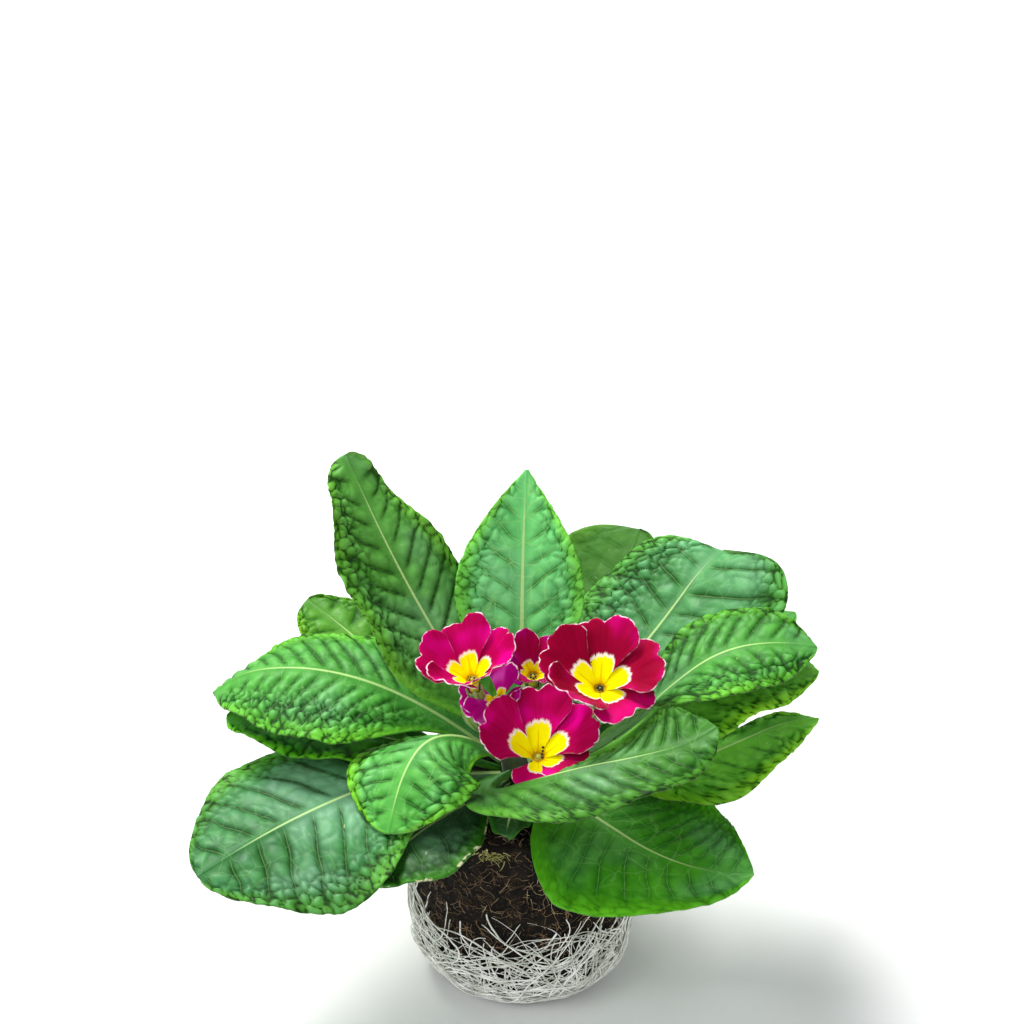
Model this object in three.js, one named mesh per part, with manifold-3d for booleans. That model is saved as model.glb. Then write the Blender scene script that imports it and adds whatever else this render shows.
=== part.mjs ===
// A flowering primrose lifted out of its pot: a rosette of puckered leaves on a short crown,
// six open blooms and two buds on stalks of their own, and the bare root ball that they grew in.
//
// Millimetres, +Z up. The origin is the middle of the root ball's flat foot. +Y points to the
// back of the plant, where its tallest leaves stand, and +X to its right.

import * as THREE from "three";
import { mergeVertices } from "three/addons/utils/BufferGeometryUtils.js";
import Module from "manifold-3d";

const wasm = await Module();
wasm.setup();

const { degToRad, lerp, clamp, smoothstep } = THREE.MathUtils;

// ---------------------------------------------------------------- driving dimensions

const GAP = 0.3; // clear air between two pieces that touch

// Root ball: peat in the shape of the pot it was grown in.
const BALL_HEIGHT = 89; // at the middle of its top
const BALL_DOME = 1; // the rim lies this much below the middle
const BALL_TOP_RADIUS = 49.5;
const BALL_LOW_RADIUS = 44;
const BALL_FOOT_RADIUS = 26;
const BALL_LOW_ROUND = 20; // height of the rounding between wall and foot
const BALL_LUMP = 1.1; // depth of the lumps in the wall
const BALL_SIDES = 32;

// Crown: the short woody stem that stands in a plain hole in the peat.
const CROWN_RADIUS = 9;
const CROWN_DEPTH = 6; // how far it stands in the hole
const CROWN_RISE = 15; // how far it stands out of the peat
const LEVEL_HEIGHTS = [3.4, 7.9, 12.2]; // where leaves leave the crown, above the peat

// Leaves
const BLADE_THICKNESS = 0.8;
const STALK_HALF_WIDTH = 2.4; // of the winged leaf stalk where it leaves the crown
const RIB_HALF_WIDTH = 1.9;
const RIB_DEPTH = 2; // midrib below the blade, at the base
const RIB_TIP_DEPTH = 0.3; // and at the tip
const VEIN_SLANT = 0.42; // how far a side vein runs forward on its way to the margin
const VEIN_PAIRS = 7;
const PUCKER = 0.8; // rise of the blade between two side veins
const MARGIN_CUT = 0.035; // depth of the margin's scallops, as a share of the half width

// Blooms
const PETALS = 5;
const PETAL_THICKNESS = 0.7;
const THROAT_RADIUS = 2.6;
const TUBE_LENGTH = 10;
const TUBE_RADIUS = 1.9;
const LAYER = 2.3; // one margin of each petal is raised by this much, and the other lowered
const NOTCH = 0.17; // depth of the notch in each petal, as a share of the bloom's radius
const CALYX_FOOT = 14; // the calyx runs from here to its rim, both below the throat
const CALYX_RIM = 5;
const CALYX_RADIUS = 3.8;
const PEDICEL_RADIUS = 1.2;

// Root mat
const ROOT_RADIUS = 0.75;
const ROOT_COUNT = 12;
const GIRDLE_HEIGHTS = [8, 17, 27]; // roots that circle the ball and tie the others together
const MAT_SEED = 11;

// ---------------------------------------------------------------- materials

const leafGreen = (colour) =>
  new THREE.MeshStandardMaterial({ color: colour, roughness: 0.42, metalness: 0 });

const MATERIALS = {
  peat: new THREE.MeshStandardMaterial({ color: 0x2a1c14, roughness: 0.95, metalness: 0 }),
  roots: new THREE.MeshStandardMaterial({ color: 0xcfcdc4, roughness: 0.8, metalness: 0 }),
  crown: new THREE.MeshStandardMaterial({ color: 0x6d7a3a, roughness: 0.7, metalness: 0 }),
  stalk: new THREE.MeshStandardMaterial({ color: 0x7fa04a, roughness: 0.6, metalness: 0 }),
  crimson: new THREE.MeshStandardMaterial({ color: 0xa80f3c, roughness: 0.55, metalness: 0 }),
  violet: new THREE.MeshStandardMaterial({ color: 0xb0307e, roughness: 0.55, metalness: 0 }),
};

// ---------------------------------------------------------------- solids and geometry

// Seeded random numbers from 0 to 1.
function seededRandom(seed) {
  let state = seed;
  return () => {
    state = (state + 0x6d2b79f5) | 0;
    let t = Math.imul(state ^ (state >>> 15), 1 | state);
    t = (t + Math.imul(t ^ (t >>> 7), 61 | t)) ^ t;
    return ((t ^ (t >>> 14)) >>> 0) / 4294967296;
  };
}

function toSolid(geometry) {
  const bare = new THREE.BufferGeometry();
  bare.setAttribute("position", geometry.getAttribute("position"));
  if (geometry.index) bare.setIndex(geometry.index);
  const merged = mergeVertices(bare, 1e-3);
  return new wasm.Manifold(
    new wasm.Mesh({
      numProp: 3,
      vertProperties: new Float32Array(merged.attributes.position.array),
      triVerts: new Uint32Array(merged.index.array),
    }),
  );
}

function toGeometry(solid) {
  const { numProp, numVert, vertProperties, triVerts } = solid.getMesh();
  const positions = new Float32Array(numVert * 3);
  for (let i = 0; i < numVert; i++) {
    positions.set(vertProperties.subarray(i * numProp, i * numProp + 3), i * 3);
  }
  const geometry = new THREE.BufferGeometry();
  geometry.setAttribute("position", new THREE.BufferAttribute(positions, 3));
  geometry.setIndex(new THREE.BufferAttribute(triVerts, 1));
  geometry.computeVertexNormals();
  return geometry;
}

function geometryOf(points, faces) {
  const geometry = new THREE.BufferGeometry().setFromPoints(points);
  geometry.setIndex(faces.flat());
  geometry.computeVertexNormals();
  return geometry;
}

// A thin closed blade on a grid of points. Rows run from base to tip and columns from left to
// right. above and below give its thickness on each side of the grid.
function bladeGeometry(grid, above, below) {
  const rows = grid.length;
  const columns = grid[0].length;
  const middle = (columns - 1) / 2;
  const normalAt = (i, j) => {
    const across = grid[i][Math.min(j + 1, columns - 1)].clone().sub(grid[i][Math.max(j - 1, 0)]);
    const along = grid[Math.min(i + 1, rows - 1)][j].clone().sub(grid[Math.max(i - 1, 0)][j]);
    return across.cross(along).normalize();
  };
  const points = [];
  for (const [thickness, sign] of [[above, 1], [below, -1]]) {
    for (let i = 0; i < rows; i++) {
      for (let j = 0; j < columns; j++) {
        const offset = sign * thickness(i / (rows - 1), j);
        points.push(grid[i][j].clone().addScaledVector(normalAt(i, j), offset));
      }
    }
  }
  const top = (i, j) => i * columns + j;
  const bottom = (i, j) => rows * columns + i * columns + j;
  const faces = [];
  for (let i = 0; i < rows - 1; i++) {
    for (let j = 0; j < columns - 1; j++) {
      const corners = [[i, j], [i, j + 1], [i + 1, j + 1], [i + 1, j]];
      // Each quad is split the same way on both faces, and mirrored about the midrib.
      const order = j < middle ? [0, 1, 2, 3] : [1, 2, 3, 0];
      const [a, b, c, d] = order.map((k) => corners[k]);
      faces.push([top(...a), top(...b), top(...c)], [top(...a), top(...c), top(...d)]);
      faces.push([bottom(...a), bottom(...c), bottom(...b)]);
      faces.push([bottom(...a), bottom(...d), bottom(...c)]);
    }
  }
  const rim = [];
  for (let j = 0; j < columns - 1; j++) rim.push([0, j]);
  for (let i = 0; i < rows - 1; i++) rim.push([i, columns - 1]);
  for (let j = columns - 1; j > 0; j--) rim.push([rows - 1, j]);
  for (let i = rows - 1; i > 0; i--) rim.push([i, 0]);
  rim.forEach((p, k) => {
    const q = rim[(k + 1) % rim.length];
    faces.push([top(...q), top(...p), bottom(...p)], [top(...q), bottom(...p), bottom(...q)]);
  });
  return geometryOf(points, faces);
}

// A closed skin through rings that turn anticlockwise about their direction of travel.
function loftGeometry(rings) {
  const sides = rings[0].length;
  const points = rings.flat();
  const centre = (ring) =>
    ring.reduce((sum, p) => sum.add(p), new THREE.Vector3()).divideScalar(sides);
  const start = points.push(centre(rings[0])) - 1;
  const end = points.push(centre(rings.at(-1))) - 1;
  const faces = [];
  for (let k = 0; k < sides; k++) {
    const next = (k + 1) % sides;
    faces.push([start, next, k]);
    faces.push([end, (rings.length - 1) * sides + k, (rings.length - 1) * sides + next]);
    for (let i = 0; i < rings.length - 1; i++) {
      const [a, b] = [i * sides + k, i * sides + next];
      faces.push([a, b, b + sides], [a, b + sides, a + sides]);
    }
  }
  return geometryOf(points, faces);
}

function regularShape(sides, radius) {
  const corners = [];
  for (let k = 0; k < sides; k++) {
    const angle = (2 * Math.PI * k) / sides;
    corners.push(new THREE.Vector2(radius * Math.cos(angle), radius * Math.sin(angle)));
  }
  return new THREE.Shape(corners);
}

function tubeGeometry(points, radius, sides, steps) {
  return new THREE.ExtrudeGeometry(regularShape(sides, radius), {
    steps,
    bevelEnabled: false,
    extrudePath: new THREE.CatmullRomCurve3(points),
  });
}

// ---------------------------------------------------------------- root ball and its roots

// Radius of the ball's wall at height z.
function wallRadius(z) {
  const top = BALL_HEIGHT - BALL_DOME;
  if (z > BALL_LOW_ROUND) {
    return lerp(BALL_LOW_RADIUS, BALL_TOP_RADIUS, (z - BALL_LOW_ROUND) / (top - BALL_LOW_ROUND));
  }
  const turn = Math.sqrt(clamp(1 - (1 - z / BALL_LOW_ROUND) ** 2, 0, 1));
  return lerp(BALL_FOOT_RADIUS, BALL_LOW_RADIUS, turn);
}

// Lumps in the peat, by angle and height.
function lump(angle, z) {
  const coarse = Math.sin(3 * angle + 0.09 * z) * Math.cos(0.11 * z + 1.3);
  const fine = Math.sin(7 * angle - 0.17 * z + 2) * Math.sin(0.21 * z + 4 * angle);
  return BALL_LUMP * (0.6 * coarse + 0.5 * fine);
}

function rootBall() {
  const rimZ = BALL_HEIGHT - BALL_DOME;
  const holeRadius = CROWN_RADIUS + GAP;
  const holeFloor = BALL_HEIGHT - CROWN_DEPTH;
  const profile = [new THREE.Vector2(0, 0), new THREE.Vector2(BALL_FOOT_RADIUS, 0)];
  for (const z of [3, 8, 14, 20, 31, 42, 53, 64, 74]) {
    profile.push(new THREE.Vector2(wallRadius(z), z));
  }
  profile.push(
    new THREE.Vector2(BALL_TOP_RADIUS - 1, rimZ - 5),
    new THREE.Vector2(BALL_TOP_RADIUS - 4, rimZ),
    new THREE.Vector2(30, rimZ + 0.6 * BALL_DOME),
    new THREE.Vector2(holeRadius, BALL_HEIGHT),
    new THREE.Vector2(holeRadius, holeFloor),
    new THREE.Vector2(0, holeFloor),
  );
  const geometry = new THREE.LatheGeometry(profile, BALL_SIDES);
  // The lathe turns about +Y, so stand it up about +Z.
  geometry.rotateX(Math.PI / 2);
  const position = geometry.getAttribute("position");
  for (let i = 0; i < position.count; i++) {
    const [x, y, z] = [position.getX(i), position.getY(i), position.getZ(i)];
    const radius = Math.hypot(x, y);
    if (z < 1 || radius < holeRadius + 4) continue;
    const angle = Math.atan2(y, x);
    const onWall = z < rimZ - 1;
    const shift = lump(angle, z);
    const scale = onWall ? (radius + shift) / radius : 1;
    position.setXYZ(i, x * scale, y * scale, onWall ? z : z + 0.7 * shift);
  }
  return toSolid(geometry);
}

// A point just outside the wall, where a root lies.
function onWall(angle, z, lift) {
  const radius = wallRadius(z) + lump(angle, z) + lift;
  return new THREE.Vector3(radius * Math.cos(angle), radius * Math.sin(angle), z);
}

function rootMat() {
  const random = seededRandom(MAT_SEED);
  const lift = ROOT_RADIUS + GAP + 1.5;
  let mat = null;
  const weave = (points, radius) => {
    const root = toSolid(tubeGeometry(points, radius, 3, points.length));
    mat = mat ? mat.add(root) : root;
  };
  for (const height of GIRDLE_HEIGHTS) {
    const points = [];
    const start = random() * 2 * Math.PI;
    for (let k = 0; k <= 16; k++) {
      const angle = start + (k / 16) * 2 * Math.PI * 1.04;
      const wander = 3.2 * Math.sin(2 * angle + height) + 2 * Math.sin(5 * angle);
      points.push(onWall(angle, Math.max(3, height + wander), lift));
    }
    weave(points, ROOT_RADIUS * 1.1);
  }
  for (let n = 0; n < ROOT_COUNT; n++) {
    const points = [];
    let angle = ((n + 0.8 * random()) / ROOT_COUNT) * 2 * Math.PI;
    let z = 26 + 30 * random() ** 1.6;
    const lean = (random() - 0.5) * 0.7;
    while (z > 3) {
      points.push(onWall(angle, z, lift));
      angle += lean * 0.5 + (random() - 0.5) * 0.25;
      z -= 6 + 3 * random();
    }
    weave(points, ROOT_RADIUS);
  }
  // Roots that no other root crosses are left out.
  return mat.decompose().sort((a, b) => b.volume() - a.volume())[0];
}

function crown() {
  const floor = BALL_HEIGHT - CROWN_DEPTH + GAP;
  const top = BALL_HEIGHT + CROWN_RISE;
  const profile = [
    new THREE.Vector2(0, floor),
    new THREE.Vector2(CROWN_RADIUS - 1, floor),
    new THREE.Vector2(CROWN_RADIUS, floor + 1),
    new THREE.Vector2(CROWN_RADIUS, BALL_HEIGHT + 9),
    new THREE.Vector2(CROWN_RADIUS - 0.5, top - 1.5),
    new THREE.Vector2(CROWN_RADIUS - 2, top),
    new THREE.Vector2(0, top),
  ];
  const geometry = new THREE.LatheGeometry(profile, 20);
  geometry.rotateX(Math.PI / 2);
  return toSolid(geometry);
}

// ---------------------------------------------------------------- leaves

// Reads a list of values at evenly spaced stations, from 0 at the base to 1 at the tip.
function along(list, s) {
  const place = clamp(s, 0, 1) * (list.length - 1);
  const k = Math.min(Math.floor(place), list.length - 2);
  return list.length === 1 ? list[0] : lerp(list[k], list[k + 1], place - k);
}

// The leaf's direction, its right-hand side and its upper side at s, from yaw about +Z, pitch
// above the horizontal, and roll about the midrib.
function leafFrame(leaf, s) {
  const yaw = degToRad(along(leaf.yaw, s));
  const pitch = degToRad(along(leaf.pitch, s));
  const roll = degToRad(along(leaf.roll, s));
  const forward = new THREE.Vector3(
    Math.cos(pitch) * Math.cos(yaw),
    Math.cos(pitch) * Math.sin(yaw),
    Math.sin(pitch),
  );
  const level = new THREE.Vector3(Math.sin(yaw), -Math.cos(yaw), 0);
  const normal = level.clone().cross(forward);
  const right = level.clone().multiplyScalar(Math.cos(roll));
  right.addScaledVector(normal, -Math.sin(roll));
  normal.multiplyScalar(Math.cos(roll)).addScaledVector(level, Math.sin(roll));
  return { forward, right, normal };
}

// Points along the midrib, from the side of the crown.
function midrib(leaf, steps = 60) {
  const yaw = degToRad(leaf.yaw[0]);
  const z = BALL_HEIGHT + LEVEL_HEIGHTS[leaf.level];
  const start = CROWN_RADIUS + GAP + (leaf.level < 2 ? 0.2 : 0);
  const points = [new THREE.Vector3(start * Math.cos(yaw), start * Math.sin(yaw), z)];
  for (let k = 0; k < steps; k++) {
    const { forward } = leafFrame(leaf, (k + 0.5) / steps);
    points.push(points[k].clone().addScaledVector(forward, leaf.length / steps));
  }
  return (s) => {
    const place = clamp(s, 0, 1) * steps;
    const k = Math.min(Math.floor(place), steps - 1);
    return points[k].clone().lerp(points[k + 1], place - k);
  };
}

// Half the width at s: a winged stalk that widens into a spoon-shaped blade.
function halfWidth(leaf, s) {
  const widest = leaf.widest ?? 0.64;
  const blade =
    s < widest
      ? Math.sin(((Math.PI / 2) * s) / widest) ** (leaf.taper ?? 2.1)
      : Math.cos(((Math.PI / 2) * (s - widest)) / (1 - widest)) ** (leaf.point ?? 0.6);
  return STALK_HALF_WIDTH * (1 - 0.6 * s) + (leaf.width / 2) * blade;
}

function leafBlade(leaf) {
  const spine = midrib(leaf);
  const rows = 2 * (leaf.veins ?? VEIN_PAIRS) + 3;
  const tipS = 0.985;
  const grid = [];
  for (let i = 0; i < rows; i++) {
    const v = tipS * (i / (rows - 1)) ** 0.92;
    const crest = i % 2 === 0 ? -1 : 1;
    const blade = smoothstep(v, 0.12, 0.4);
    const ribShare = Math.min(0.5, RIB_HALF_WIDTH / halfWidth(leaf, v));
    const row = [-1, -0.55, -ribShare, 0, ribShare, 0.55, 1].map((u) => {
      const out = Math.abs(u);
      const s = v + VEIN_SLANT * out ** 1.2 * v * (tipS - v);
      const { right, normal } = leafFrame(leaf, s);
      const side = u < 0 ? 0 : 1;
      const cut = out === 1 ? 1 + crest * MARGIN_CUT * blade : 1;
      const share = along((side ? leaf.rightShare : leaf.leftShare) ?? [1], s);
      const width = halfWidth(leaf, s) * cut * out * share;
      // The section leaves the midrib at the fold angle and goes on bending by the curl.
      const fold = degToRad(along(side ? leaf.right : leaf.left, s));
      const halfCurl = degToRad(leaf.curl[side] * out * blade) / 2;
      const reach = halfCurl ? (width * Math.sin(halfCurl)) / halfCurl : width;
      const angle = fold + halfCurl;
      const pucker = out > ribShare ? crest * PUCKER * blade : 0;
      const wave = (leaf.wave ?? 1.5) * out ** 3 * blade;
      const ripple = wave * Math.sin(17 * v + 3 * side + (leaf.phase ?? 0));
      return spine(s)
        .addScaledVector(right, Math.sign(u) * reach * Math.cos(angle))
        .addScaledVector(normal, reach * Math.sin(angle) + pucker + ripple);
    });
    grid.push(row);
  }
  const half = BLADE_THICKNESS / 2;
  const below = (v, j) => half + (j === 3 ? lerp(RIB_DEPTH, RIB_TIP_DEPTH, v) : 0);
  return toSolid(bladeGeometry(grid, () => half, below));
}

// One row for each leaf. level picks where it leaves the crown. yaw, pitch and roll are degrees
// at even stations from base to tip, and so are left and right, the angle at which each half
// stands up from the midrib. curl is the further bend of each half on its way to the margin.
// length and width are millimetres.
const LEAVES = [
  {
    name: "leaf_back_left_tall", level: 2,
    yaw: [148, 145, 140, 133, 128], pitch: [50], roll: [0],
    length: 135, width: 58, left: [8], right: [8], curl: [5, 10],
    leftShare: [1, 1.35, 1.12, 1, 1], rightShare: [1, 1, 0.95, 0.7, 0.7],
    taper: 1.4, widest: 0.5, point: 0.55, wave: 3, phase: 1,
  },
  {
    name: "leaf_back_centre", level: 2,
    yaw: [92, 89, 84], pitch: [62, 60, 58], roll: [0],
    length: 110, width: 53, left: [8], right: [8], curl: [10, 10],
    rightShare: [0.93], widest: 0.54, point: 1.05,
  },
  {
    name: "leaf_back_right_inner", level: 0,
    yaw: [62], pitch: [23, 33, 39], roll: [0],
    length: 115, width: 52, left: [5], right: [0], curl: [10, 0],
    leftShare: [0.8, 1, 1.1, 1.5], rightShare: [0.8, 0.8, 0.7, 0.7], point: 0.4, veins: 6,
  },
  {
    name: "leaf_back_right", level: 1,
    yaw: [38, 38, 40, 44, 48, 44], pitch: [28, 28, 29, 32, 32, 14], roll: [0, 6, 8],
    length: 118, width: 72, left: [0], right: [-5, -5, -5, 8, 28], curl: [0, 0],
    rightShare: [1, 1, 1, 1.3, 2], point: 0.3, widest: 0.6,
  },
  {
    name: "leaf_right", level: 2,
    yaw: [-22, 0, 10, 12, 4, -3], pitch: [6, 34, 48, 35, 6, -12], roll: [0],
    length: 125, width: 52, left: [12], right: [-10, -20], curl: [0, 0],
    leftShare: [0.7, 0.6, 0.6, 1, 1], taper: 2.6,
  },
  {
    name: "leaf_right_under", level: 1,
    yaw: [-12, 0, 8, 9, 2, -3], pitch: [8, 30, 40, 32, 4, -14], roll: [0],
    length: 121, width: 50, left: [5], right: [-10, -20], curl: [0, 0],
    leftShare: [0.7, 0.6, 0.6, 1, 1], taper: 2.4, veins: 6,
  },
  {
    name: "leaf_front_right_bent", level: 1,
    yaw: [-122, -98, -38, -8, 0, 12, 30], pitch: [16, 20, 36, 23, 12, 10, 20], roll: [0],
    length: 131, width: 44, left: [-60, -60, -30, 5, 25], right: [-10], curl: [0, -10],
    leftShare: [0.2, 0.2, 0.22, 0.65, 1.7], rightShare: [0.6, 0.9, 1, 0.9, 0.9], taper: 1,
  },
  {
    name: "leaf_front_right_low", level: 0,
    yaw: [-52, -47, -40, -25, -5], pitch: [3, -2, -9, -2, 8], roll: [0],
    length: 104, width: 80, left: [0], right: [-3], curl: [0, 0],
    leftShare: [0.9, 1, 1, 1.1, 1.3], rightShare: [0.7, 1.05, 1.15, 0.85, 0.45],
    taper: 1.2, widest: 0.56, wave: 1,
  },
  {
    name: "leaf_front_left_small", level: 2,
    yaw: [-160, -154, -143, -124, -112, -106], pitch: [45, 36, 14, -29, -46, -57], roll: [0],
    length: 80, width: 52, left: [-30, -30, 0, 0], right: [-26, -29, -22, -5, 0],
    curl: [0, -10], leftShare: [0.7, 1.25, 1.1, 1], rightShare: [1, 1, 1.1, 1, 1], taper: 1.6,
  },
  {
    name: "leaf_left", level: 1,
    yaw: [170], pitch: [38, 32, 21, 5, -14, -52], roll: [0],
    length: 133, width: 66, left: [-20], right: [2, 2, -5], curl: [0, 0],
    leftShare: [0.3, 0.55, 1, 1, 1], rightShare: [1, 1, 1, 0.85, 0.6],
    taper: 1.6, widest: 0.56,
  },
  {
    name: "leaf_front_left_low", level: 0,
    yaw: [-162, -162, -150, -145, -142], pitch: [10, 6, -6, -10, -14], roll: [0],
    length: 133, width: 84, left: [-4, -8, -16, -20], right: [2], curl: [0, 0],
    leftShare: [1, 1.1, 1.1, 1], rightShare: [0.7, 1.2, 1, 1],
  },
  {
    name: "leaf_front_left_under", level: 0,
    yaw: [-132, -136, -140], pitch: [0, -3, -34], roll: [0],
    length: 76, width: 38, left: [0], right: [0], curl: [0, 0],
    leftShare: [1, 1.3, 1.2], rightShare: [0.6], veins: 5,
  },
  {
    name: "leaf_right_low", level: 0,
    yaw: [-12, -8, 0, 25, 30, 5], pitch: [14, 8, 5, 10, 6, 0], roll: [0],
    length: 118, width: 44, left: [0], right: [-20], curl: [0, 0],
    leftShare: [0.5], rightShare: [1, 1, 1, 0.8, 0.6], veins: 5,
  },
  {
    name: "leaf_front_low", level: 0,
    yaw: [-98], pitch: [8, 2, -10], roll: [0],
    length: 38, width: 15, left: [0], right: [0], curl: [0, 0], veins: 4,
  },
  {
    name: "leaf_left_under", level: 0,
    yaw: [173, 174, 176], pitch: [15, 9, 0], roll: [0],
    length: 114, width: 42, left: [0], right: [0], curl: [0, 0],
    leftShare: [0.7, 1, 1], rightShare: [0.7, 1, 1], veins: 5,
  },
  {
    name: "leaf_back_left_low", level: 0,
    yaw: [143, 139, 137], pitch: [20, 17, 13], roll: [0],
    length: 118, width: 52, left: [0], right: [8], curl: [0, 0],
    leftShare: [0.8, 0.8, 1], rightShare: [0.8, 1, 1], veins: 6,
  },
  {
    name: "leaf_back_low_left", level: 0,
    yaw: [116, 113, 112], pitch: [31, 26, 12], roll: [0],
    length: 98, width: 44, left: [0], right: [0], curl: [0, 0],
    leftShare: [0.8, 1, 1], rightShare: [0.8, 1, 1], veins: 5,
  },
  {
    name: "leaf_back_low_right", level: 0,
    yaw: [90], pitch: [14, 9, -2], roll: [0],
    length: 100, width: 44, left: [0], right: [0], curl: [0, 0],
    leftShare: [0.8, 1, 1], rightShare: [0.8, 1, 1], veins: 5,
  },
  {
    name: "leaf_back_right_low", level: 0,
    yaw: [34, 28, 25], pitch: [17, 17, 16], roll: [0],
    length: 128, width: 44, left: [0], right: [0], curl: [0, 0], veins: 5,
  },
];

// ---------------------------------------------------------------- blooms, buds and their stalks

// Two directions across an axis, turned by spin degrees about it.
function across(axis, spin) {
  const first = new THREE.Vector3(0, 0, 1).cross(axis);
  if (first.lengthSq() < 1e-6) first.set(1, 0, 0);
  first.normalize().applyAxisAngle(axis, degToRad(spin));
  return [first, axis.clone().cross(first)];
}

// The direction a bloom looks in, from its azimuth and its height above the horizontal.
function facing(bloom) {
  const [azimuth, height] = [degToRad(bloom.azimuth), degToRad(bloom.height)];
  return new THREE.Vector3(
    Math.cos(height) * Math.cos(azimuth),
    Math.cos(height) * Math.sin(azimuth),
    Math.sin(height),
  );
}

function petal(bloom, index, axis, east, north) {
  const turn = (2 * Math.PI * index) / PETALS + degToRad(bloom.turn?.[index] ?? 0);
  const [inner, outer] = bloom.spread ?? [34, 46];
  const edge = (u) => 1 - NOTCH * Math.exp(-((u / 0.2) ** 2)) - 0.16 * Math.abs(u) ** 6;
  const start = THROAT_RADIUS - 0.5;
  const columns = bloom.radius > 18 ? [1, 0.68, 0.3, 0, -0.3, -0.68, -1] : [1, 0.5, 0, -0.5, -1];
  const grid = [];
  for (let i = 0; i < 4; i++) {
    const t = i / 3;
    // Columns run from the clockwise side to the other, so that the upper face looks up.
    const row = columns.map((u) => {
      const length = t * ((bloom.share?.[index] ?? 1) * bloom.radius * edge(u) - start);
      // The petal leaves the throat at the rise angle and bends evenly on its way out.
      const halfBend = degToRad(bloom.bend[index] * t) / 2;
      const chord = (length * Math.sin(halfBend)) / halfBend || 0;
      const slope = degToRad(bloom.rise[index]) + halfBend;
      const angle = turn + degToRad(lerp(inner, outer, t)) * u;
      const ruffle = bloom.ruffle * t * t * Math.cos(4.2 * u + index * 1.7);
      const layer = LAYER * u * t;
      const reach = start + chord * Math.cos(slope);
      return bloom.throat
        .clone()
        .addScaledVector(east, reach * Math.cos(angle))
        .addScaledVector(north, reach * Math.sin(angle))
        .addScaledVector(axis, chord * Math.sin(slope) + ruffle - layer);
    });
    grid.push(row);
  }
  const half = PETAL_THICKNESS / 2;
  return toSolid(bladeGeometry(grid, () => half, () => half));
}

// Five overlapping petals on an open-throated tube.
function bloomSolid(bloom) {
  const axis = facing(bloom);
  const [east, north] = across(axis, bloom.spin);
  const profile = [
    [0, -TUBE_LENGTH],
    [TUBE_RADIUS - 0.3, -TUBE_LENGTH],
    [TUBE_RADIUS, -4],
    [THROAT_RADIUS + 0.4, 0.5],
    [THROAT_RADIUS - 0.4, 0.7],
    [TUBE_RADIUS - 0.7, -4],
    [0, -5],
  ].map(([r, h]) => new THREE.Vector2(r, h));
  const tube = new THREE.LatheGeometry(profile, 8);
  const matrix = new THREE.Matrix4().makeBasis(east, axis, north.clone().negate());
  tube.applyMatrix4(matrix.setPosition(bloom.throat));
  let solid = toSolid(tube);
  for (let k = 0; k < PETALS; k++) solid = solid.add(petal(bloom, k, axis, east, north));
  return solid;
}

// Where a stalk runs: straight up out of the crown's top, then over to the foot of its calyx.
function stalkPath(throat, axis, root) {
  const from = new THREE.Vector3(root[0], root[1], BALL_HEIGHT + CROWN_RISE + GAP);
  const foot = throat.clone().addScaledVector(axis, -CALYX_FOOT);
  const below = foot.clone().addScaledVector(axis, -3);
  const up = from.clone().setZ(from.z + 2.5);
  return [from, up, below, foot];
}

function ringAround(centre, first, second, radii) {
  return radii.map((radius, k) => {
    const angle = (2 * Math.PI * k) / radii.length;
    return centre
      .clone()
      .addScaledVector(first, radius * Math.cos(angle))
      .addScaledVector(second, radius * Math.sin(angle));
  });
}

// A ribbed calyx with five teeth, open at the top and round the bloom's tube.
function calyx(throat, axis, first, second) {
  const sides = 10;
  const ring = (depth, radius, rib = 0.08, tooth = 0) => {
    const centre = throat.clone().addScaledVector(axis, -depth);
    const radii = Array.from({ length: sides }, (_, k) => radius * (k % 2 ? 1 - rib : 1 + rib));
    return ringAround(centre, first, second, radii).map((p, k) =>
      p.addScaledVector(axis, k % 2 ? 0 : tooth),
    );
  };
  const bore = TUBE_RADIUS + GAP + 0.25;
  const rings = [
    ring(CALYX_FOOT + 0.4, 1.2),
    ring(CALYX_FOOT - 1.4, 2.7),
    ring(CALYX_FOOT - 4.5, CALYX_RADIUS),
    ring(CALYX_RIM + 1.6, CALYX_RADIUS - 0.5),
    ring(CALYX_RIM, CALYX_RADIUS - 0.4, 0.05, 2),
    ring(CALYX_RIM + 1.2, bore + 0.4, 0),
    ring(TUBE_LENGTH + 0.4, bore, 0),
  ];
  return toSolid(loftGeometry(rings));
}

function stalkSolid(bloom) {
  const axis = facing(bloom);
  const [east, north] = across(axis, bloom.spin + 36);
  const path = stalkPath(bloom.throat, axis, bloom.root);
  return toSolid(tubeGeometry(path, PEDICEL_RADIUS, 6, 6)).add(
    calyx(bloom.throat, axis, east, north),
  );
}

// A closed bud: ribbed green calyx with a twisted point.
function budSolid(bud) {
  const axis = facing(bud);
  const [east, north] = across(axis, 0);
  const radii = [1.3, 2.6, 3.2, 2.9, 2, 0.9];
  const rings = radii.map((radius, i) => {
    const centre = bud.throat.clone().addScaledVector(axis, 3 * i - CALYX_FOOT - 0.4);
    const ribs = Array.from({ length: 10 }, (_, k) => radius * (k % 2 ? 0.9 : 1.1));
    return ringAround(centre, east, north, ribs);
  });
  const path = stalkPath(bud.throat, axis, bud.root);
  return toSolid(tubeGeometry(path, PEDICEL_RADIUS, 6, 6)).add(toSolid(loftGeometry(rings)));
}

// throat is the middle of the flower's eye, above the peat's top. azimuth and height say where it
// looks, and rise how far each petal stands up from flat, in degrees. The first petal lies spin
// degrees anticlockwise of level. root is on the crown's top.
const aboveBall = (x, y, z) => new THREE.Vector3(x, y, BALL_HEIGHT + z);

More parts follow.
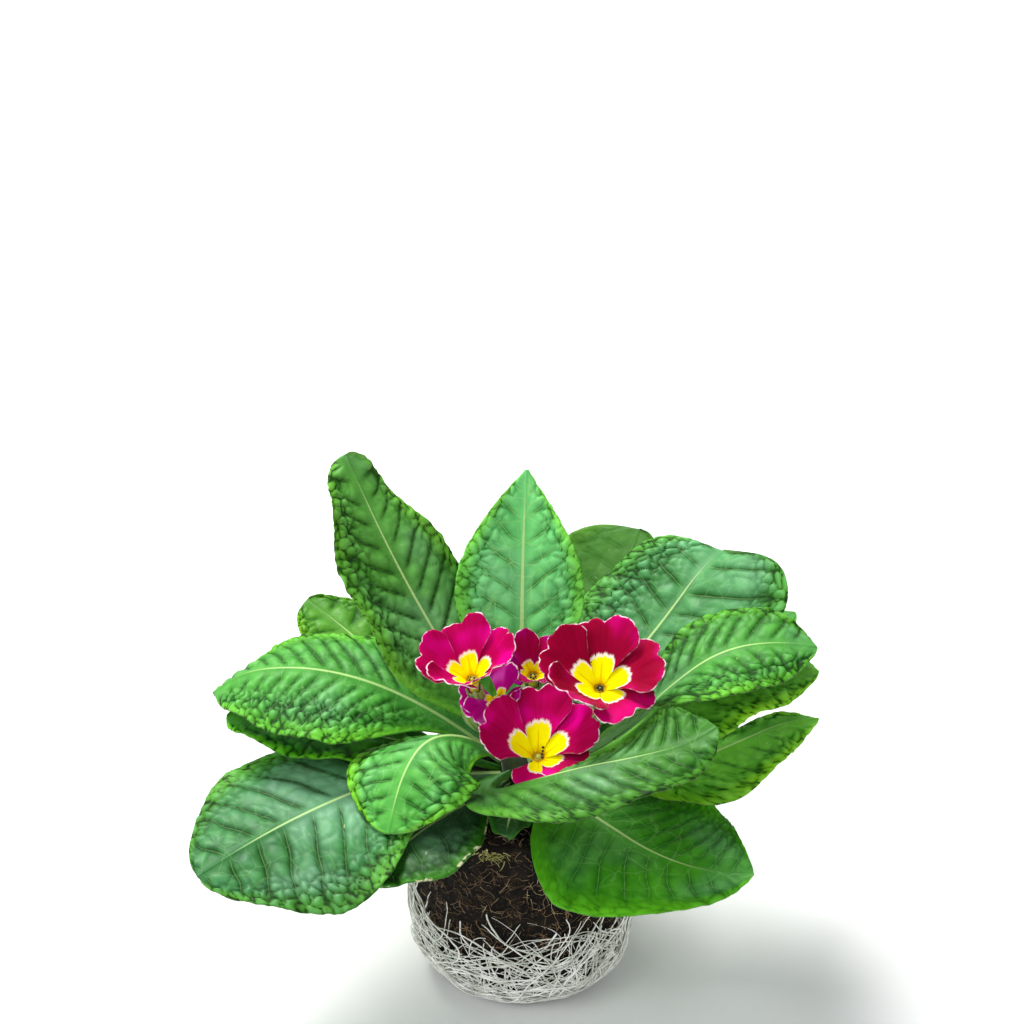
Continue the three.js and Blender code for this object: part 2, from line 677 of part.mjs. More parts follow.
const BLOOMS = [
  {
    name: "front", throat: aboveBall(6, -30, 29), azimuth: -90, height: 71,
    radius: 29, spin: 18, turn: [0, 0, 0, 30, 8], rise: [42, 42, 42, 26, 46],
    bend: [-10, -10, -10, -35, 0], share: [1, 1, 1, 0.56, 0.85], ruffle: 1.2, root: [0.4, -5],
  },
  {
    name: "right", throat: aboveBall(30, -18, 53), azimuth: -90, height: 71,
    radius: 29, spin: 13, turn: [0, 0, 0, 0, 8], rise: [38, 42, 40, 37, 24],
    bend: [-10, -10, -10, 10, -10], share: [1, 1, 1, 1, 0.85], ruffle: 1.4, root: [4.2, -2.6],
  },
  {
    name: "left", throat: aboveBall(-20, -13, 54), azimuth: -120, height: 72,
    radius: 25.5, spin: 54, rise: [46, 46, 46, 48, 50], bend: [-10, -10, -10, 0, -5],
    ruffle: 1.4, root: [-5, 0.8],
  },
  {
    name: "centre", throat: aboveBall(4, 5, 44.5), azimuth: -90, height: 70,
    radius: 18.5, spin: 50, rise: [40, 40, 44, 52, 44], bend: [-10, -10, -10, -5, -10],
    share: [1, 1, 0.85, 1, 1], ruffle: 1.2, root: [0, 1],
  },
  {
    name: "small_left", throat: aboveBall(-9.5, -12, 43.6), azimuth: -115, height: 64,
    radius: 12, spin: 20, turn: [0, 0, 0, 22, 0], spread: [26, 24], rise: [40, 40, 40, 28, 40],
    bend: [-10, -10, -10, -10, -10], share: [0.62, 0.75, 0.45, 1, 0.5], ruffle: 1,
    root: [-3.6, -3.2], violet: true,
  },
  {
    name: "small_right", throat: aboveBall(17, 3, 36), azimuth: -50, height: 62,
    radius: 12, spin: 40, rise: [40, 40, 40, 40, 40], bend: [-10, -10, -10, -10, -10],
    ruffle: 1, root: [4.9, 0.9], violet: true,
  },
];

const BUDS = [
  {
    name: "left", throat: aboveBall(-24, -4, 36), azimuth: 190, height: 60, root: [-2, 5.4],
  },
  {
    name: "back", throat: aboveBall(14, 15, 31), azimuth: 20, height: 60, root: [2.6, 4.8],
  },
];

// ---------------------------------------------------------------- the plant

const plant = new THREE.Group();

function addPiece(name, solid, material) {
  const mesh = new THREE.Mesh(toGeometry(solid), material);
  mesh.name = name;
  plant.add(mesh);
}

addPiece("root_ball", rootBall(), MATERIALS.peat);
addPiece("root_mat", rootMat(), MATERIALS.roots);
addPiece("crown", crown(), MATERIALS.crown);

for (const leaf of LEAVES) {
  addPiece(leaf.name, leafBlade(leaf), leafGreen(leaf.colour ?? 0x3f8f3a));
}
for (const bloom of BLOOMS) {
  const colour = bloom.violet ? MATERIALS.violet : MATERIALS.crimson;
  addPiece(`bloom_${bloom.name}`, bloomSolid(bloom), colour);
  addPiece(`stalk_${bloom.name}`, stalkSolid(bloom), MATERIALS.stalk);
}
for (const bud of BUDS) addPiece(`bud_${bud.name}`, budSolid(bud), MATERIALS.stalk);

export default plant;
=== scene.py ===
# %% [markdown]
# # A primrose on its bare root ball
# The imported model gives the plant's frame: a ball of peat, a short crown, nineteen leaves, six
# blooms and two buds. Each of them is made again here from a fine grid that follows the same rule
# as its plain solid, so the plant keeps its form and gains its skin: puckered blades, soft veins,
# velvety petals and several hundred white roots.

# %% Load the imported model
import math
import random

import bmesh
import bpy
from mathutils import Matrix, Vector, noise


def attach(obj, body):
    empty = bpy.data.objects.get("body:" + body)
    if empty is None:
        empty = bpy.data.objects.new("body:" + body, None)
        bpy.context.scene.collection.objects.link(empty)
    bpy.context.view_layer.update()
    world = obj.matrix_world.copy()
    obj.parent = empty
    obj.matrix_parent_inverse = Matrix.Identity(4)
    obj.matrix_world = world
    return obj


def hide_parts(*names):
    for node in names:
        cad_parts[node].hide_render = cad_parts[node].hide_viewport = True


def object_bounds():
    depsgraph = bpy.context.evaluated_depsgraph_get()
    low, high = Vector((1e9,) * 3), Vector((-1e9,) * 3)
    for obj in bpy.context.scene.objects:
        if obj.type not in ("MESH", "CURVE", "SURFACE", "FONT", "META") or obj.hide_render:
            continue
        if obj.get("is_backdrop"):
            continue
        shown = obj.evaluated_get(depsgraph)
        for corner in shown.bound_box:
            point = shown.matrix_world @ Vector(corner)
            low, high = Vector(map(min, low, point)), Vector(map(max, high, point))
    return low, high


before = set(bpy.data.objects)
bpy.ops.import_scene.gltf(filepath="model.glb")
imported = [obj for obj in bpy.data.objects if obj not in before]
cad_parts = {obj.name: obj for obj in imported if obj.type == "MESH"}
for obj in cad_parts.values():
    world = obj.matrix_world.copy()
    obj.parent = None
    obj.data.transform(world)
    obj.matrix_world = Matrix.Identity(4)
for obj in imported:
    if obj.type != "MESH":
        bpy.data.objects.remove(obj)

cad_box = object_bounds()
print("packed nodes:", len(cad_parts))
print("box of the packed model in metres:", [list(corner) for corner in cad_box])

# %% [markdown]
# Most pieces of a plant are sheets or tubes, and a grid can become either: each of its vertices is
# moved to the place that a rule gives for its share across and its share along. A grid that is
# rolled into a tube has a seam, which merging the doubles closes. The two shares stay on the mesh
# as marks, and most pieces also turn them into a map, so that a finish can follow their form.

# %% Grids that are bent into pieces
MM = 0.001
SEAM = 1e-6  # metres between vertices that are one
SCENE = bpy.context.scene.collection


def bend_sheet(bm, across, along, place):
    """Adds a grid to bm and moves each vertex to place(a, b), for a and b from 0 to 1."""
    a_layer = bm.verts.layers.float.get("a") or bm.verts.layers.float.new("a")
    b_layer = bm.verts.layers.float.get("b") or bm.verts.layers.float.new("b")
    grid = bmesh.ops.create_grid(bm, x_segments=across, y_segments=along, size=1)
    for vert in grid["verts"]:
        a, b = (vert.co.x + 1) / 2, (vert.co.y + 1) / 2
        vert[a_layer], vert[b_layer] = a, b
        vert.co = place(a, b)
    return grid["verts"]


def close_seams(bm):
    """Merges the doubles along a rolled grid's seam and at its poles, and faces it outwards."""
    bmesh.ops.remove_doubles(bm, verts=bm.verts[:], dist=SEAM)
    bmesh.ops.dissolve_degenerate(bm, edges=bm.edges[:], dist=SEAM)
    bmesh.ops.recalc_face_normals(bm, faces=bm.faces[:])


def add_wall(bm, thickness):
    """Gives the sheets in bm a lower skin, which carries the mark "under", and returns its vertices."""
    under = bm.verts.layers.float["under"]
    count = len(bm.verts)
    bmesh.ops.solidify(bm, geom=bm.faces[:], thickness=thickness * MM)
    bm.verts.ensure_lookup_table()
    skin = bm.verts[count:]
    for vert in skin:
        vert[under] = 1.0
    return skin


def write_map(bm, name, rule):
    """A map whose two coordinates at each vertex are rule(vert)."""
    layer = bm.loops.layers.uv.new(name)
    for face in bm.faces:
        for loop in face.loops:
            loop[layer].uv = rule(loop.vert)


def map_shares(bm, name):
    """A map of the share across and the share along."""
    a, b = bm.verts.layers.float["a"], bm.verts.layers.float["b"]
    write_map(bm, name, lambda vert: (vert[a], vert[b]))


def join_plant(piece, nodes):
    """Lets a piece ride on the plant and stand for the nodes that it replaces."""
    SCENE.objects.link(piece)
    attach(piece, "root")
    if nodes:
        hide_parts(*nodes)


def finish_piece(name, bm, materials, nodes):
    """Makes bm an object of the plant."""
    mesh = bpy.data.meshes.new(name)
    bm.to_mesh(mesh)
    bm.free()
    mesh.shade_smooth()
    for material in materials:
        mesh.materials.append(material)
    join_plant(bpy.data.objects.new(name, mesh), nodes)
    print(f"{name}: {sum(len(face.vertices) - 2 for face in mesh.polygons)} triangles")


# %% [markdown]
# A finish is a small tree of shader nodes. Its sums are easier to read as Python, so a socket is
# wrapped in a class whose operators add Math nodes. Every other node comes from one method.

# %% Shader sums as Python
def math_node(operation):
    """A method that adds one Math node, which works on the socket and what it is given."""
    return lambda self, *others: self.maths(operation, self, *others)


class Socket:
    """A number or colour in a finish's node tree."""

    __add__ = __radd__ = math_node("ADD")
    __sub__ = math_node("SUBTRACT")
    __mul__ = __rmul__ = math_node("MULTIPLY")
    __truediv__ = math_node("DIVIDE")
    __pow__ = math_node("POWER")
    __abs__ = math_node("ABSOLUTE")
    fraction = math_node("FRACT")
    most = math_node("MAXIMUM")

    def __init__(self, finish, socket):
        self.finish = finish
        self.socket = socket

    def maths(self, operation, *terms):
        return self.finish.add("Math", {"operation": operation}, dict(enumerate(terms)))

    def __rsub__(self, other):
        return self.maths("SUBTRACT", other, self)

    def rise(self, low, high):
        """0 where this is below low and 1 where it is above high, with a soft step between."""
        ends = {"Value": self, "From Min": low, "From Max": high}
        return self.finish.add("MapRange", {"interpolation_type": "SMOOTHSTEP"}, ends)


def rgb(red, green, blue):
    """A colour from screen values of 0 to 255, in the linear light that shaders use."""
    linear = [((c / 255 + 0.055) / 1.055) ** 2.4 if c > 10 else c / 3295 for c in (red, green, blue)]
    return (*linear, 1.0)


class Finish:
    """A material that is built from its Principled shader backwards."""

    def __init__(self, name, **constants):
        self.material = bpy.data.materials.new(name)
        self.material.use_nodes = True
        self.tree = self.material.node_tree
        self.shader = self.tree.nodes["Principled BSDF"]
        for socket, value in constants.items():
            self.shader.inputs[socket.replace("_", " ")].default_value = value

    def add(self, kind, settings=(), sockets=(), output=0):
        node = self.tree.nodes.new("ShaderNode" + kind)
        for key, value in dict(settings).items():
            setattr(node, key, value)
        for key, value in dict(sockets).items():
            if isinstance(value, Socket):
                self.tree.links.new(value.socket, node.inputs[key])
            else:
                node.inputs[key].default_value = value
        return Socket(self, node.outputs[output])

    def place(self):
        return self.add("TexCoord", output="Object")

    def map(self, name):
        """The two coordinates of one of the piece's own maps."""
        pair = self.add("UVMap", {"uv_map": name})
        return [self.add("SeparateXYZ", (), {0: pair}, axis) for axis in "XY"]

    def point(self, x, y, z):
        return self.add("CombineXYZ", (), {"X": x, "Y": y, "Z": z})

    def mark(self, name):
        """A number that the mesh carries at each vertex."""
        return self.add("Attribute", {"attribute_name": name}, (), "Fac")

    def cloud(self, scale, vector=None, detail=2.0):
        sockets = {"Scale": scale, "Detail": detail, "Vector": vector if vector else self.place()}
        return self.add("TexNoise", (), sockets, "Fac")

    def cells(self, scale, vector, feature="F1"):
        sockets = {"Scale": scale, "Vector": vector}
        return self.add("TexVoronoi", {"feature": feature}, sockets, "Distance")

    def mix(self, share, first, second):
        """First where share is 0 and second where it is 1, as colour sockets or screen values."""
        first, second = (c if isinstance(c, Socket) else rgb(*c) for c in (first, second))
        return self.add("Mix", {"data_type": "RGBA"}, {"Factor": share, 6: first, 7: second}, 2)

    def relief(self, height, depth, strength):
        bump = self.add("Bump", (), {"Height": height, "Distance": depth, "Strength": strength})
        self.tree.links.new(bump.socket, self.shader.inputs["Normal"])

    def wet(self, weight):
        self.tree.links.new(weight.socket, self.shader.inputs["Coat Weight"])

    def paint(self, colour, roughness=None):
        self.tree.links.new(colour.socket, self.shader.inputs["Base Color"])
        if roughness:
            self.tree.links.new(roughness.socket, self.shader.inputs["Roughness"])
        return self.material


# %% [markdown]
# A primrose leaf is quilted: side veins pull it in, and the blade between them swells into ridges
# and domes. Those are in the mesh, which also carries their height as a mark, and only the finest
# grain is a bump. Colour reads that mark to paint light and shade: the creases are painted dark
# where the mesh dips, the domes are painted lighter and carry a painted bluish sheen, and the pale
# rib and side veins lie on the same map as the ridges. The margin is a fresher green than the
# middle, and the underside is paler and duller than the top.

# %% Leaf finish
VEIN_MAP_MM = 100.0  # one unit of the vein map across the leaf
VEIN_MAP_PAIRS = 20.0  # and along it, in side veins
VEIN_SPACING = 13.0  # millimetres along the midrib
RIB_COLOUR = (196, 228, 146)
VEIN_COLOUR = (156, 214, 128)
# painted sheen: the pale bluish shine that is laid on the domes of the leaves
PAINTED_SHEEN_COLOUR = (156, 206, 176)
SPECK_COLOUR = (206, 224, 150)
SCAR_COLOUR = (222, 216, 176)
BACK_COLOUR = (132, 168, 104)


def leaf_finish(name, deep, light, young, lace=0.3, rib=(0.0, 0.95), rib_mm=0.9, painted_sheen=0.3, scars=0.0):
    """Lace is how strongly the veins show, the sheen argument how strongly a bluish sheen is painted on
    the domes, and rib from where to where it is pale.
    """
    leaf = Finish(name, Specular_IOR_Level=0.12, Coat_Roughness=0.42, Coat_IOR=1.45)
    across, along = leaf.map("blade")
    out_share, vein_share = leaf.map("veins")
    from_rib = (out_share - 0.5) * VEIN_MAP_MM
    from_vein = abs((vein_share * VEIN_MAP_PAIRS + 0.5).fraction() - 0.5) * VEIN_SPACING
    to_margin = 1 - abs(across - 0.5) * 2
    inner = to_margin.rise(0.1, 0.6)
    relief, under = leaf.mark("relief"), leaf.mark("under")
    wobble = (leaf.cloud(240, detail=1) - 0.5) * 2.6
    metric = leaf.point((from_rib * 0.85 + wobble) * MM, (leaf.mark("reach") - wobble) * MM, under * 0.03)

    rib_width = (1 - along) ** 1.1 * rib_mm + 0.2
    on_rib = 1 - (abs(from_rib) / rib_width).rise(0.55, 1.2)
    on_rib = on_rib * along.rise(rib[0] - 0.1, rib[0]) * (1 - along.rise(rib[1] - 0.25, rib[1]))
    on_vein = (1 - from_vein.rise(0.06, 0.4)) * to_margin.rise(0.1, 0.5) * abs(from_rib).rise(0.8, 2.5)
    on_lace = (1 - leaf.cells(120, metric, "DISTANCE_TO_EDGE").rise(0.006, 0.035)) * inner * 0.6

    patches = leaf.cloud(28, detail=2).rise(0.3, 0.7)
    mottle = leaf.cloud(170, metric, detail=2).rise(0.3, 0.7)
    # painted light and shade: the relief mark gives the domes the light green and the dips the deep green,
    # with random patches and mottle on top
    blade = leaf.mix(relief * 1.05 + patches * 0.35 + mottle * 0.12 - 0.36, deep, light)
    # painted sheen: patches of a pale bluish shine on the domes, kept off the margin
    painted_sheen_spots = leaf.cloud(22, detail=1).rise(0.42, 0.66) * to_margin.rise(0.05, 0.5)
    blade = leaf.mix(painted_sheen_spots * relief * painted_sheen, blade, PAINTED_SHEEN_COLOUR)
    # the margin is a yellower green of its own, and a little of that green on the domes is painted light
    fresh_margin_and_dome_light = (1 - to_margin.rise(0.02, 0.34)) * (patches * 0.45 + 0.25) + mottle * relief * 0.14
    blade = leaf.mix(fresh_margin_and_dome_light, blade, young)
    # painted shade: a darker, less blue green laid in the dips of the relief mark
    painted_crease_shade = (deep[0] * 0.42, deep[1] * 0.6, deep[2] * 0.2)
    blade = leaf.mix(relief.rise(0.0, 0.35), painted_crease_shade, blade)
    blade = leaf.mix(on_vein.most(on_lace) * lace, blade, VEIN_COLOUR)
    blade = leaf.mix(on_rib * (1 - along * 0.45), blade, RIB_COLOUR)
    specks = 1 - leaf.cells(170, metric).rise(0.045, 0.075)
    blade = leaf.mix(specks * patches * 0.45, blade, SPECK_COLOUR)
    if scars:
        torn = leaf.cloud(190, detail=3).rise(0.55, 0.6) * (1 - to_margin.rise(0.02, 0.07))
        blade = leaf.mix(torn * scars, blade, SCAR_COLOUR)
    colour = leaf.mix(under, blade, leaf.mix(0.45, blade, BACK_COLOUR))

    grain = leaf.cells(360, metric)
    depth = (1 - grain * grain) * (1 - inner * 0.6) * 0.4 + leaf.cloud(420, metric) * 0.2
    leaf.relief(depth + leaf.cloud(900) * 0.08 - on_rib * 0.2, 0.0008, 0.7)
    leaf.wet(relief.rise(0.3, 0.9) * (1 - under) * 0.34)
    return leaf.paint(colour, mottle * 0.1 + 0.5)


# %% [markdown]
# No two leaves of the plant are the same green: those that stand up are bluer, young ones are
# yellower and the lowest are dark. Each finish has three greens: a deep one that paints shade in
# the dips of the blade, a light one that paints light on its domes, and one for its margin. The
# shade finish is painted shade: flatter, duller greens for a leaf that lies in shade.

# %% Greens of the leaves
LEAF_GREENS = {
    "tall": ((38, 96, 11), (104, 182, 77), (112, 186, 44), dict(lace=0.15)),
    "centre": ((46, 130, 42), (122, 221, 130), (134, 226, 62), dict(lace=0.7, rib_mm=1.25)),
    # painted shade: flatter, duller greens for a leaf that lies in shade
    "shade": ((46, 102, 24), (84, 142, 54), (96, 152, 44), dict(painted_sheen=0.1, lace=0.1)),
    "blue": ((33, 92, 32), (97, 174, 108), (104, 188, 56), dict(lace=0.22, painted_sheen=0.45)),
    "mid": ((24, 88, 10), (90, 176, 72), (112, 200, 36), dict(painted_sheen=0.4, lace=0.15, rib=(0.42, 0.95))),
    "fair": ((29, 98, 16), (97, 187, 79), (118, 208, 46), dict(painted_sheen=0.4, rib=(0.0, 0.9))),
    "bent": ((29, 85, 14), (83, 154, 55), (100, 174, 48),
             dict(rib_mm=0.5, rib=(0.46, 0.85), painted_sheen=0.4, lace=0.2)),
    "young": ((25, 105, 12), (103, 198, 86), (134, 218, 28), dict(lace=0.3, rib_mm=0.8)),
    "low": ((18, 74, 18), (75, 148, 90), (100, 178, 44), dict(painted_sheen=0.5, lace=0.2, rib=(0.0, 0.9))),
    "broad": ((17, 97, 0), (81, 172, 34), (110, 208, 26),
              dict(lace=0.35, painted_sheen=0.25, rib=(0.3, 0.85), rib_mm=0.8)),
    "dark": ((6, 52, 2), (34, 98, 22), (62, 140, 24), dict(painted_sheen=0.2, lace=0.15)),
    "worn": ((4, 42, 0), (28, 84, 16), (60, 134, 22), dict(painted_sheen=0.2, lace=0.15, scars=0.9)),
    "olive": ((40, 104, 0), (92, 162, 36), (122, 192, 22), dict(painted_sheen=0.05, lace=0.15)),
    "lime": ((56, 132, 12), (120, 200, 66), (150, 222, 30), dict(painted_sheen=0.05, rib=(0.4, 0.95))),
}
LEAF_FINISHES = {
    key: leaf_finish(f"leaf_{key}_green", *greens, **more)
    for key, (*greens, more) in LEAF_GREENS.items()
}
print("leaf finishes:", sorted(LEAF_FINISHES))

# %% [markdown]
# The leaves share one rule. A midrib starts at the crown and turns by its yaw and pitch, each half
# of the blade stands up or hangs by its fold, and the width follows a spoon shape. Here the grid is
# fine enough to take the side veins, the domes between them and the crinkled margin as real relief,
# so that they also show along the outline.

# %% Leaf rule
CROWN_RADIUS = 9.0
GAP = 0.3
BALL_HEIGHT = 89.0
LEVEL_HEIGHTS = (3.4, 7.9, 12.2)
STALK_HALF_WIDTH = 2.4
VEIN_SLANT = 0.42
VEIN_RISE = 0.11  # how much further up the blade a side vein meets the margin


def clamp(value, low=0.0, high=1.0):
    return min(max(value, low), high)


def smoothstep(value, low, high):
    t = clamp((value - low) / (high - low))
    return t * t * (3 - 2 * t)


def lerp(a, b, t):
    return a + (b - a) * t


def along_list(values, s):
    """Reads a list of values at even stations, from 0 at the base to 1 at the tip."""
    if len(values) == 1:
        return values[0]
    place = clamp(s) * (len(values) - 1)
    k = min(int(place), len(values) - 2)
    return lerp(values[k], values[k + 1], place - k)


def leaf_frame(leaf, s):
    """The leaf's forward, right and upper directions at s."""
    yaw, pitch = (math.radians(along_list(leaf[key], s)) for key in ("yaw", "pitch"))
    roll = math.radians(along_list(leaf.get("roll", [0]), s))
    forward = Vector((math.cos(pitch) * math.cos(yaw), math.cos(pitch) * math.sin(yaw), math.sin(pitch)))
    level = Vector((math.sin(yaw), -math.cos(yaw), 0))
    upper = level.cross(forward)
    right = level * math.cos(roll) - upper * math.sin(roll)
    return forward, right, upper * math.cos(roll) + level * math.sin(roll)


def half_width(leaf, s):
    widest, s = leaf.get("widest", 0.64), min(s, 1.0)
    if s < widest:
        blade = math.sin(math.pi / 2 * s / widest) ** leaf.get("taper", 2.1)
    else:
        blade = max(math.cos(math.pi / 2 * (s - widest) / (1 - widest)), 0) ** leaf.get("point", 0.6)
    return STALK_HALF_WIDTH * (1 - 0.6 * s) + leaf["width"] / 2 * blade


# %% [markdown]
# The puckers of the blade are cells, like those of a crowd of soap bubbles. Voronoi noise gives
# them: the distance to the nearest two centres is the same on a crease, and differs most at the top
# of a dome. Near the rib only the side veins crease the blade, so long ridges stand there.

# %% Ridges and domes
DOME_WALL = 0.62  # share of a cell from its crease to its flat top
LONG_DOME = (10, 7.5)  # millimetres across and along the leaf
SMALL_DOME = (4.5, 4.1)
CREASE_WIDTH = 1.5


def dome_cells(x, y, seed):
    """Height of the domes in the blade: 0 in the creases between them and 1 at their tops."""
    warp = 0.45 * noise.noise(Vector((0.9 * x, 0.9 * y, seed)))
    distances, _ = noise.voronoi(Vector((x + warp, y - warp, seed)))
    rise = clamp((distances[1] - distances[0]) / DOME_WALL)
    return rise * (2 - rise)


def quilt(distance, reach, out, phase, seed, spacing, domes_from):
    """Long smooth ridges between the side veins break up into round domes near the margin."""
    from_vein = abs(phase - round(phase)) * spacing
    ridge = 1 - math.exp(-from_vein / CREASE_WIDTH)
    long_dome = dome_cells(distance / LONG_DOME[0], reach / LONG_DOME[1], seed)
    small_dome = dome_cells(distance / SMALL_DOME[0], reach / SMALL_DOME[1], seed + 9)
    ridges, domes = ridge * lerp(1, long_dome, 0.4), ridge**0.5 * small_dome
    return lerp(ridges, domes, smoothstep(out, domes_from, domes_from + 0.5))


# %% [markdown]
# A closed blade comes from one sheet in three steps: bend the grid, give it a wall with solidify,
# and push the wall's lower skin down along the midrib, where the real leaf is thickest. Solidify
# copies each vertex's marks, so the lower skin knows where on the leaf it lies.

# %% Leaf maker
BLADE_THICKNESS = 0.6
SPINE_STEPS = 80
MARKS = ("out", "phase", "reach", "relief", "down")


def grow_leaf(leaf, finish):
    bm = bmesh.new()
    marks = {key: bm.verts.layers.float.new(key) for key in (*MARKS, "under")}
    yaw = math.radians(leaf["yaw"][0])
    start = CROWN_RADIUS + GAP + (0.2 if leaf["level"] < 2 else 0)
    height = BALL_HEIGHT + LEVEL_HEIGHTS[leaf["level"]]
    spine = [Vector((start * math.cos(yaw), start * math.sin(yaw), height))]
    for k in range(SPINE_STEPS):
        forward = leaf_frame(leaf, (k + 0.5) / SPINE_STEPS)[0]
        spine.append(spine[-1] + forward * (leaf["length"] / SPINE_STEPS))
    spacing = leaf.get("veins", VEIN_SPACING)
    pairs = leaf["length"] / spacing
    seed = leaf["length"] + 7 * leaf["yaw"][0]
    depth_share = leaf.get("quilt", 1.0)
    # how strongly the relief mark paints light and shade into the colour
    shade = min(1.0, 0.3 + 0.7 * depth_share)
    rows = []

    def spine_at(s):
        spot = clamp(s) * SPINE_STEPS
        k = min(int(spot), SPINE_STEPS - 1)
        return spine[k].lerp(spine[k + 1], spot - k)

    def place(a, b):
        u = 2 * a - 1
        out = abs(u)
        side = 0 if u < 0 else 1
        key = ("left", "right")[side]
        v = 1 - (1 - b) ** 1.2
        s = v + VEIN_SLANT * out**1.2 * v * (1 - v)
        blade = smoothstep(v, 0.12, 0.4)  # 0 on the stalk and 1 on the blade
        phase = pairs * max(v - VEIN_RISE * out * (1 - v * v), 0) ** (1 / 0.92)
        phase += 0.25 * noise.noise(Vector((6 * v, side, seed)))
        phase += 0.3 * out * noise.noise(Vector((3 * u, 0.7 * phase, seed)))
        teeth = 0.5 * noise.noise(Vector((2.2 * phase, side, seed)))
        teeth += 0.2 * noise.noise(Vector((6 * phase, side, seed)))
        width = half_width(leaf, s) * along_list(leaf.get(key + "_share", [1]), s) + teeth * blade * out**3
        distance = width * out
        fold = math.radians(along_list(leaf.get(key, [0]), s))
        half_curl = math.radians(leaf.get("curl", [0, 0])[side] * out * blade) / 2
        reach = distance * math.sin(half_curl) / half_curl if half_curl else distance

        domes_from = leaf.get("domes", (0.25, 0.25))[side]
        dome = quilt(distance, s * leaf["length"], out, phase, seed, spacing, domes_from)
        spread = smoothstep(distance, 0.8, 6) * lerp(0.3, 1, blade)
        calm = 1 - 0.5 * smoothstep(out, 0.85, 1)
        lift = depth_share * lerp(1.9, 1.2, out) * (dome - 0.5) * spread * calm
        crest = 0.35 * math.exp(-((distance / (1.5 - v)) ** 2))
        groove = 0.5 * math.exp(-(((distance - 2.7) / 1.2) ** 2)) * (1 - v)
        wave_angle = 17 * v + 3 * side + leaf.get("phase", 0)
        ripple = leaf.get("wave", 1.5) * out**3 * blade * math.sin(wave_angle)
        crinkle = depth_share * 0.8 * out**6 * blade * noise.noise(Vector((2.1 * phase, side + 5, seed)))

        _, right, upper = leaf_frame(leaf, s)
        angle = fold + half_curl
        skin = upper * math.cos(angle) - right * (math.sin(angle) * (1 if u > 0 else -1))
        spot = spine_at(s) + right * (math.copysign(reach, u) * math.cos(angle))
        spot += upper * (reach * math.sin(angle))
        spot += skin * (lift + (crest - groove)) + upper * (ripple + crinkle - 0.5 * blade * out**12)
        depth = lerp(2.0, 0.3, v) * math.exp(-((distance / lerp(1.9, 0.9, v)) ** 2))
        # the relief mark, from which the leaf finish paints shade in the dips and light on the domes
        relief = lerp(0.6, dome, spread * shade)
        rows.append((math.copysign(distance, u), phase, s * leaf["length"], relief, depth))
        return spot * MM

    shares = [leaf.get(key, [1]) for key in ("left_share", "right_share")]
    widest = max(sum(along_list(share, k / 10) for share in shares) for k in range(4, 8))
    mesh_mm = leaf.get("mesh_mm", 0.95)
    across = 2 * round(leaf["width"] * widest / 2 / mesh_mm / 2)
    along = round(leaf["length"] / mesh_mm)
    verts = bend_sheet(bm, across, along, place)
    for vert, row in zip(verts, rows):
        for key, value in zip(MARKS, row):
            vert[marks[key]] = value
    skin = add_wall(bm, BLADE_THICKNESS)
    bm.normal_update()
    lower = [(vert, vert.normal.copy()) for vert in skin if vert[marks["down"]] > 0.01]
    for vert, normal in lower:
        vert.co += normal * (vert[marks["down"]] * MM)
    map_shares(bm, "blade")
    out, phase = marks["out"], marks["phase"]
    write_map(bm, "veins", lambda vert: (vert[out] / VEIN_MAP_MM + 0.5, vert[phase] / VEIN_MAP_PAIRS))
    finish_piece(leaf["name"], bm, [LEAF_FINISHES[finish]], [leaf["name"]])


# %% [markdown]
# Each leaf has the values of its solid: its finish, its level on the crown, its length and width in
# millimetres, and its yaw and pitch from base to tip in degrees. Then come, where it needs them,
# the folds and curls of its two halves, the shares that scale their widths, the outline, the
# puckers and the size of its mesh. Leaves that are hardly seen have a coarser mesh.

